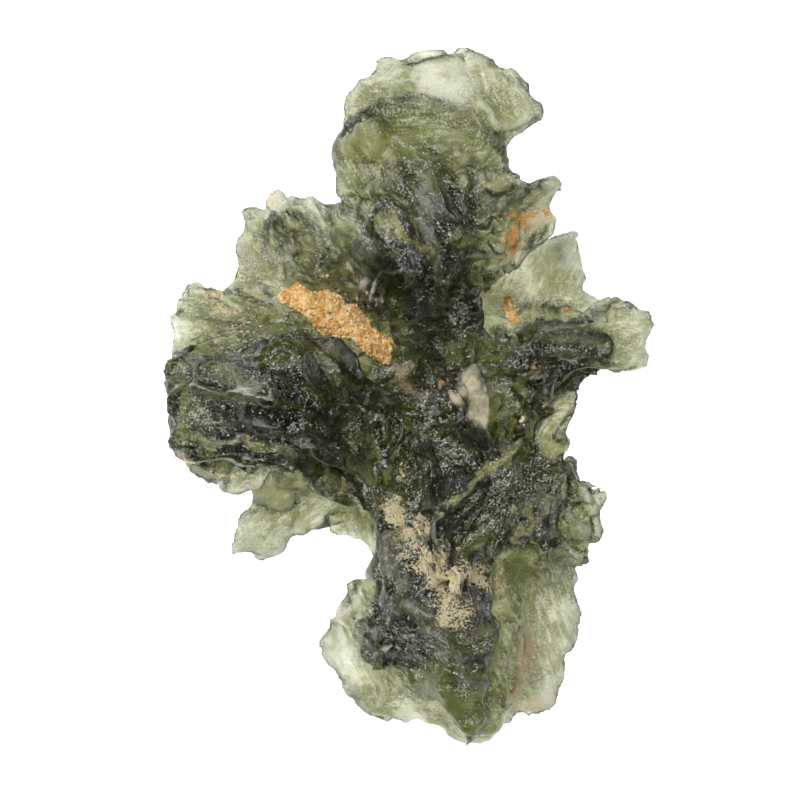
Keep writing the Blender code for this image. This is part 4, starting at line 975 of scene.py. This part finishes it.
def nodeMaker(name):
    # a new material, and short ways to add its nodes and join them
    made = bpy.data.materials.new(name)
    made.use_nodes = True
    tree = made.node_tree
    link = tree.links.new

    def add(kind, **settings):
        # a node, with settings for its properties and, by name with capitals, for its inputs
        node = tree.nodes.new(kind)
        for key, value in settings.items():
            if hasattr(node, key):
                setattr(node, key, value)
            else:
                node.inputs[key.replace("_", " ")].default_value = value
        return node

    @cache
    def place():
        return add("ShaderNodeTexCoord").outputs["Object"]

    @cache
    def mark(name):
        # what the piece stores for each of its points under this name
        return add("ShaderNodeAttribute", attribute_name=name).outputs["Fac"]

    def join(value, socket):
        # a number or a colour is set on the socket, and anything else is linked to it
        if isinstance(value, (int, float)):
            socket.default_value = value
        elif isinstance(value, tuple):
            socket.default_value = (*value, 1)
        else:
            link(value, socket)

    def pattern(kind, where=None, **settings):
        node = add(kind, **settings)
        link(where or place(), node.inputs["Vector"])
        return node

    def noise(scale, detail, roughness=0.5, where=None):
        node = pattern("ShaderNodeTexNoise", where, Scale=scale, Detail=detail, Roughness=roughness)
        return node.outputs["Fac"]

    def worked(operation):
        # works values into the first one, one after the other
        def work(first, *others):
            for other in others:
                node = add("ShaderNodeMath", operation=operation)
                join(first, node.inputs[0])
                join(other, node.inputs[1])
                first = node.outputs[0]
            return first
        return work

    def ranged(value, low, high, toLow, toHigh):
        node = add("ShaderNodeMapRange")
        for key, number in zip(("From Min", "From Max", "To Min", "To Max"), (low, high, toLow, toHigh)):
            node.inputs[key].default_value = number
        link(value, node.inputs["Value"])
        return node.outputs["Result"]

    def mixed(share, under, over):
        node = add("ShaderNodeMix", data_type="RGBA")
        for key, value in zip(("Factor", "A", "B"), (share, under, over)):
            join(value, node.inputs[key])
        return node.outputs["Result"]

    def ramp(value, stops):
        node = add("ShaderNodeValToRGB")
        elements = node.color_ramp.elements
        while len(elements) < len(stops):
            elements.new(1.0)
        for element, (position, colour) in zip(elements, stops):
            element.position = position
            element.color = (*colour, 1)
        link(value, node.inputs["Fac"])
        return node.outputs["Color"]

    surface = tree.nodes["Principled BSDF"]

    def raiseBy(height, distance):
        bump = add("ShaderNodeBump", Distance=distance)
        link(height, bump.inputs["Height"])
        link(bump.outputs["Normal"], surface.inputs["Normal"])

    return SimpleNamespace(
        made=made, tree=tree, link=link, add=add, place=place, pattern=pattern, noise=noise, mark=mark,
        times=worked("MULTIPLY"), plus=worked("ADD"), less=worked("SUBTRACT"), most=worked("MAXIMUM"),
        below=worked("LESS_THAN"), ranged=ranged, mixed=mixed, ramp=ramp, raiseBy=raiseBy,
        surface=surface.inputs)


glassLook = dict(
    ior=1.49,
    shine=0.22,                # how much the skin reflects
    absorb=(0.4, 0.43, 0.05),  # what is left of white light, before density
    density=960.0,             # per metre
    tint=(0.96, 0.97, 0.88),
    glossy=0.28,               # roughness where smooth, where etched, underneath and on films
    frosted=0.3,
    underside=0.24,
    filmed=0.8,
    # the skin: pits, grains, clumps of them, and streaks that follow the etching
    pitScale=6500.0,           # pits per metre
    pitHeight=0.025,           # mm
    grain=10500.0,             # grains per metre
    grainHeight=0.02,          # mm
    clumps=2400.0,             # clumps of grains per metre
    streaks=5.0,               # streaks per mm across the flow
    skinShares=(0.15, 0.25, 0.6),  # of clumps, streaks and grains
    rougher=4.0,               # how many times deeper the pits are in silvery and dark hollows
    smoothShare=0.6,           # how much of the pits' depth smooth glass keeps
    # frost: how strongly the glass is etched
    patchScale=420.0,          # patches per metre where it is stronger or weaker
    patches=0.2,               # and by how much
    hollowFrost=0.45,          # how much more a hollow has
    silverFrost=0.7,           # and a silvery hollow
    windowFrost=0.3,           # and how much less a window has
    haze=0.006,                # the share of light that frost scatters back
    sparkleGlintColour=(0.82, 0.83, 0.76),
    # painted glints as bright grains, and dark grains
    sparkle=0.85,              # the most that the painted glints scatter back
    sparkleFrom=(0.83, 0.96),  # where in the skin they start, and where they are in full
    sparkleLift=(0.2, 0.12),   # how much frost and silver help them
    sparkleLeft=dict(window=0.3, thin=0.7, dark=0.2),  # what is left of them there
    stipple=0.85,              # how strongly dark grains tint
    stippleFrom=(0.3, 0.55),   # where in the skin they are in full, and where they end
    darkGrainAndShade=(0.07, 0.08, 0.02),   # the tint of dark grains, and the painted shade of recesses and hollows
    # painted light on ridges and rims
    ridges=0.05,               # the most painted light that the ridges between hollows scatter back
    ridgeLightColour=(0.52, 0.55, 0.34),
    rims=0.45,                 # how whitish the painted light makes the thin rims
    rimLightColour=(0.80, 0.83, 0.70),
    core=(0.5 * mm, 0, 6 * mm),    # the dark middle of the stone
    rimReach=(7.5 * mm, 10 * mm),  # how far from it the painted light on the rims starts, and where it is in full
    # what is set by strokes
    olive=(0.50, 0.50, 0.17),  # painted light: thin ridges made to scatter back olive as if light came out of them
    oliveShare=0.3,            # the share of painted light that they scatter back
    glow=0.2,                  # the share of painted light that olive valleys scatter back
    glowColour=(0.46, 0.48, 0.11),
    milk=(0.93, 0.94, 0.79),   # milky white glass
    milkShare=0.6,             # the share of light that it scatters back
    shade=(0.36, 0.37, 0.22),  # the tint of the deeper coloured stretches
    shadeShares=(0.95, 0.65),  # how deep it is there, and on thin glass
    shadeScale=450.0,          # patches per metre of it
    pale=(0.80, 0.71, 0.46),
    brown=(0.50, 0.36, 0.20),
    cream=(0.74, 0.62, 0.36),
    rust=(0.66, 0.32, 0.07),
    # Films show where their stroke, times a strength, beats the speckle: the strength, by how much it falls
    # short or wins where they start and are in full, and how much they cover.
    creamFilm=(0.68, -0.04, 0.08, 0.9),
    rustFilm=(0.85, -0.1, 0.2, 0.95),
    speckles=(8000.0, 1400.0),  # fine and broad spots per metre in the speckle
    # painted glints
    speckScale=9000.0,         # cells per metre, some with a painted white glint
    speckSize=0.34,            # a glint's half width in a cell
    specks=(0.01, 0.10),       # the share of cells with a glint, where smooth and where frosted
    glintSpeckColour=(0.80, 0.80, 0.76),
)


def glassMaterial():
    look = glassLook
    kit = nodeMaker("etched moss green glass")
    mark, noise, ranged, times, plus, less, most = (
        kit.mark, kit.noise, kit.ranged, kit.times, kit.plus, kit.less, kit.most)

    def spread(value):
        # stretches the usual range of a noise over 0 to 1
        return ranged(value, 0.36, 0.64, 0, 1)

    def left(name, least):
        # 1 away from a mark and least on it
        return ranged(mark(name), 0, 1, 1, least)

    # frost: 0 where the glass is smooth, 1 where it is etched to a grain
    patches = ranged(noise(look["patchScale"], 4), 0.3, 0.7, -look["patches"], look["patches"])
    frost = plus(times(mark("hollow"), look["hollowFrost"]), patches, 0.5,
                 times(mark("silver"), look["silverFrost"]))
    frost = ranged(less(frost, times(mark("window"), look["windowFrost"])), 0, 1, 0, 1)

    # skin: a fine grain, in clumps and drawn out along the flow
    flow = kit.add("ShaderNodeAttribute", attribute_name="flow").outputs["Vector"]
    grain, clump = spread(noise(look["grain"], 2, 0.7)), spread(noise(look["clumps"], 3, 0.6))
    streak = spread(noise(look["streaks"], 3, 0.6, flow))
    skin = plus(*(times(part, share) for part, share in zip((clump, streak, grain), look["skinShares"])))

    # painted glints as bright grains, and dark grains
    lift = plus(*(times(part, share) for part, share in zip((frost, mark("silver")), look["sparkleLift"])))
    sparkle = ranged(plus(skin, lift), *look["sparkleFrom"], 0, look["sparkle"])
    sparkle = times(sparkle, *(left(name, least) for name, least in look["sparkleLeft"].items()))
    stipple = times(ranged(skin, *look["stippleFrom"], look["stipple"], 0), ranged(frost, 0, 0.6, 0, 1),
                    left("thin", 0.8))

    # painted light on the ridges between hollows, and on the rims
    ridgeLight = times(ranged(mark("hollow"), -1, -0.25, look["ridges"], 0), left("thin", 0.3),
                  ranged(skin, 0.35, 0.65, 0.1, 1.8))
    reach = kit.add("ShaderNodeVectorMath", operation="DISTANCE")
    kit.link(kit.place(), reach.inputs[0])
    reach.inputs[1].default_value = look["core"]
    # painted light: thin rims away from the core made whitish
    rim = times(ranged(mark("hollow"), -1, -0.3, look["rims"], 0), ranged(mark("thin"), 0.45, 0.95, 0, 1),
                ranged(reach.outputs["Value"], *look["rimReach"], 0, 1), ranged(skin, 0.3, 0.6, 0.4, 1))

    # speckled films, plain films and painted glints
    fine, patchy = spread(noise(look["speckles"][0], 3, 0.75)), spread(noise(look["speckles"][1], 4, 0.6))
    speckle = plus(times(fine, 0.72), times(patchy, 0.28))

    def film(name):
        strength, low, high, cover = look[name + "Film"]
        return ranged(less(times(mark(name), strength), speckle), low, high, 0, cover)

    cream, rust = film("cream"), film("rust")
    brown = times(mark("brown"), ranged(patchy, 0, 1, 1.0, 0.6))
    pale = times(mark("pale"), ranged(patchy, 0, 1, 0.9, 0.55))
    cells = kit.pattern("ShaderNodeTexVoronoi", Scale=look["speckScale"])
    chance = kit.add("ShaderNodeSeparateColor")
    kit.link(cells.outputs["Color"], chance.inputs[0])
    few = kit.below(chance.outputs[0], ranged(frost, 0, 1, *look["specks"]))
    size = ranged(chance.outputs[1], 0, 1, 0.4 * look["speckSize"], look["speckSize"])
    glintSpeck = times(few, kit.below(cells.outputs["Distance"], size))
    cover = most(cream, rust, brown, pale, glintSpeck)

    # haze: the light that is scattered back instead of let through, partly by frost and milky glass and
    # partly as painted light on glow valleys, olive ridges, ridges and rims
    glow = mark("glow")
    haze = plus(times(frost, look["haze"]), times(glow, look["glow"]), ridgeLight,
                times(mark("olive"), look["oliveShare"]))
    haze = times(haze, ranged(skin, 0.3, 0.7, 0.4, 1.6))
    haze = plus(haze, times(mark("milk"), look["milkShare"]), rim)

    # colour: tints, films, painted shade, painted light and painted glints over each other, as how much of
    # each and its colour
    deepened, thinned = look["shadeShares"]
    uneven = times(ranged(noise(look["shadeScale"], 5, 0.6), 0.38, 0.62, 0.3, 1.9),
                   ranged(streak, 0.1, 0.9, 1.8, 0.3))
    shade = plus(times(mark("shade"), deepened), times(mark("thin"), thinned))
    shade = times(shade, uneven, left("window", 0))
    # painted shade: hollows darkened towards the deep tint, except on thin glass and in windows
    hollowShade = times(ranged(mark("hollow"), 0.1, 1, 0, 0.5), left("thin", 0.8), left("window", 0))
    colour = look["tint"]
    for share, tint in (
        (shade, "shade"),
        # painted light in the glow valleys
        (times(glow, 0.6), "glowColour"),
        (stipple, "darkGrainAndShade"),
        # painted shade in the dark recesses
        (times(mark("dark"), 0.9), "darkGrainAndShade"),
        (hollowShade, "darkGrainAndShade"),
        (ranged(ridgeLight, 0, look["ridges"], 0, 0.7), "ridgeLightColour"),
        (ranged(rim, 0, look["rims"], 0, 0.8), "rimLightColour"),
        # painted light on the brightest ridges
        (times(mark("olive"), ranged(skin, 0.25, 0.6, 0.3, 1), 0.9), "olive"),
        (ranged(sparkle, 0, look["sparkle"], 0, 0.9), "sparkleGlintColour"),
        (times(mark("milk"), 0.9), "milk"),
        (pale, "pale"),
        (brown, "brown"),
        (glintSpeck, "glintSpeckColour"),
        (cream, "cream"),
        (rust, "rust"),
    ):
        colour = kit.mixed(share, colour, look[tint])
    kit.link(colour, kit.surface["Base Color"])
    kit.link(less(ranged(cover, 0, 1, 1, 0.1), haze, sparkle), kit.surface["Transmission Weight"])

    rough = most(ranged(frost, 0, 1, look["glossy"], look["frosted"]),
                 times(mark("under"), look["underside"]), times(cover, look["filmed"]))
    kit.link(rough, kit.surface["Roughness"])
    pits = kit.pattern("ShaderNodeTexVoronoi", Scale=look["pitScale"]).outputs["Distance"]
    relief = times(plus(times(pits, look["pitHeight"]), times(skin, look["grainHeight"])),
                   ranged(most(mark("silver"), mark("dark")), 0, 0.6, 1, look["rougher"]),
                   ranged(frost, 0, 1, look["smoothShare"], 1.0))
    kit.raiseBy(relief, mm)
    kit.surface["IOR"].default_value = look["ior"]
    kit.surface["Specular IOR Level"].default_value = look["shine"]
    absorb = kit.add("ShaderNodeVolumeAbsorption", Density=look["density"])
    absorb.inputs["Color"].default_value = (*look["absorb"], 1)
    kit.link(absorb.outputs["Volume"], kit.tree.nodes["Material Output"].inputs["Volume"])
    return kit.made


clayLook = dict(
    stops=[(0.0, (0.24, 0.10, 0.02)), (0.3, (0.66, 0.34, 0.08)), (0.62, (0.88, 0.55, 0.18)),
           (0.85, (0.94, 0.70, 0.34)), (1.0, (0.94, 0.84, 0.60))],
    cell=5200.0,              # sand grains per metre
    broad=1500.0,             # patches per metre
    shares=(0.5, 0.7),        # of the grains and the patches in its tone
    lift=0.02,
    fine=14000.0,             # grains per metre in its relief
    fineHeight=0.03 * mm,
    roughness=0.95,
)


def clayMaterial():
    look = clayLook
    kit = nodeMaker("dried orange clay")
    grains = kit.add("ShaderNodeSeparateColor")
    kit.link(kit.pattern("ShaderNodeTexVoronoi", Scale=look["cell"]).outputs["Color"], grains.inputs[0])
    grainShare, patchShare = look["shares"]
    tone = kit.plus(kit.times(grains.outputs[0], grainShare), look["lift"],
                    kit.times(kit.noise(look["broad"], 5.0), patchShare))
    kit.link(kit.ramp(tone, look["stops"]), kit.surface["Base Color"])
    kit.surface["Roughness"].default_value = look["roughness"]
    kit.raiseBy(kit.noise(look["fine"], 3.0), look["fineHeight"])
    return kit.made


grainLook = dict(
    stops=[(0.0, (0.92, 0.80, 0.58)), (0.35, (0.88, 0.64, 0.30)), (0.7, (0.80, 0.45, 0.13)),
           (1.0, (0.50, 0.22, 0.05))],
    roughness=0.85,
)


def grainMaterial():
    kit = nodeMaker("dust and grains")
    kit.link(kit.ramp(kit.mark("tone"), grainLook["stops"]), kit.surface["Base Color"])
    kit.surface["Roughness"].default_value = grainLook["roughness"]
    return kit.made


# The table, the light and the camera.

studio = dict(
    floorSize=3.0,
    floorDrop=0.02 * mm,         # how far under the stone's feet the table lies
    floorShade=0.4,
    floorRoughness=0.6,
    floorGlow=1.35,              # the table is lit from below
    world=0.05,
    lens=300,                    # mm, as is sensor
    sensor=36,
    width=40 * mm,               # what the picture spans at the stone's middle height
    middle=(-0.375, -0.01, 7),   # what the camera looks at, in mm
)
softboxes = [
    dict(name="overhead", at=(-0.15, 0.25, 0.9), size=0.2, power=6),
    dict(name="left", at=(-0.9, 0.2, 0.6), size=0.2, power=3),
    dict(name="right", at=(0.8, -0.5, 0.5), size=0.2, power=0.5),
]


def makeTable():
    bpy.ops.mesh.primitive_plane_add(size=studio["floorSize"], location=(0, 0, 0))
    floor = bpy.context.object
    floor.name = "table"
    setPoints(floor.data, pointsOf(floor.data) - (0, 0, studio["floorDrop"]))
    kit = nodeMaker("lit white table")
    kit.surface["Base Color"].default_value = (*[studio["floorShade"]] * 3, 1)
    kit.surface["Roughness"].default_value = studio["floorRoughness"]
    kit.surface["Emission Color"].default_value = (1, 1, 1, 1)
    kit.surface["Emission Strength"].default_value = studio["floorGlow"]
    floor.data.materials.append(kit.made)


def makeLights():
    world = bpy.data.worlds.new("pale room")
    world.use_nodes = True
    room = world.node_tree.nodes["Background"].inputs
    room["Color"].default_value = (1, 1, 1, 1)
    room["Strength"].default_value = studio["world"]
    bpy.context.scene.world = world
    for box in softboxes:
        data = bpy.data.lights.new(box["name"], "AREA")
        data.size = box["size"]
        data.energy = box["power"]
        lamp = bpy.data.objects.new(box["name"], data)
        lamp.location = box["at"]
        lamp.rotation_euler = (Vector((0, 0, 0)) - Vector(box["at"])).to_track_quat("-Z", "Y").to_euler()
        bpy.context.scene.collection.objects.link(lamp)


def makeCamera():
    data = bpy.data.cameras.new("camera")
    data.lens = studio["lens"]
    data.sensor_width = studio["sensor"]
    camera = bpy.data.objects.new("camera", data)
    middle = Vector(studio["middle"]) * mm
    camera.location = middle + Vector((0, 0, studio["width"] * studio["lens"] / studio["sensor"]))
    bpy.context.scene.collection.objects.link(camera)
    bpy.context.scene.camera = camera
    bpy.context.scene.view_settings.view_transform = "Standard"


etchedGlass = makeGlass()
etchedGlass.data.materials.append(glassMaterial())
clayFinish, grainFinish = clayMaterial(), grainMaterial()
for name, shape in clays.items():
    crust, upper = makeClay(name, shape, etchedGlass)
    crust.data.materials.append(clayFinish)
    makeCrumbs(name + "Crumbs", shape, upper).data.materials.append(grainFinish)
for name, kind in dust.items():
    makeDust(name, kind, etchedGlass).data.materials.append(grainFinish)
makeFlecks(etchedGlass).data.materials.append(grainFinish)
makeTable()
makeLights()
makeCamera()
print("studio ready")
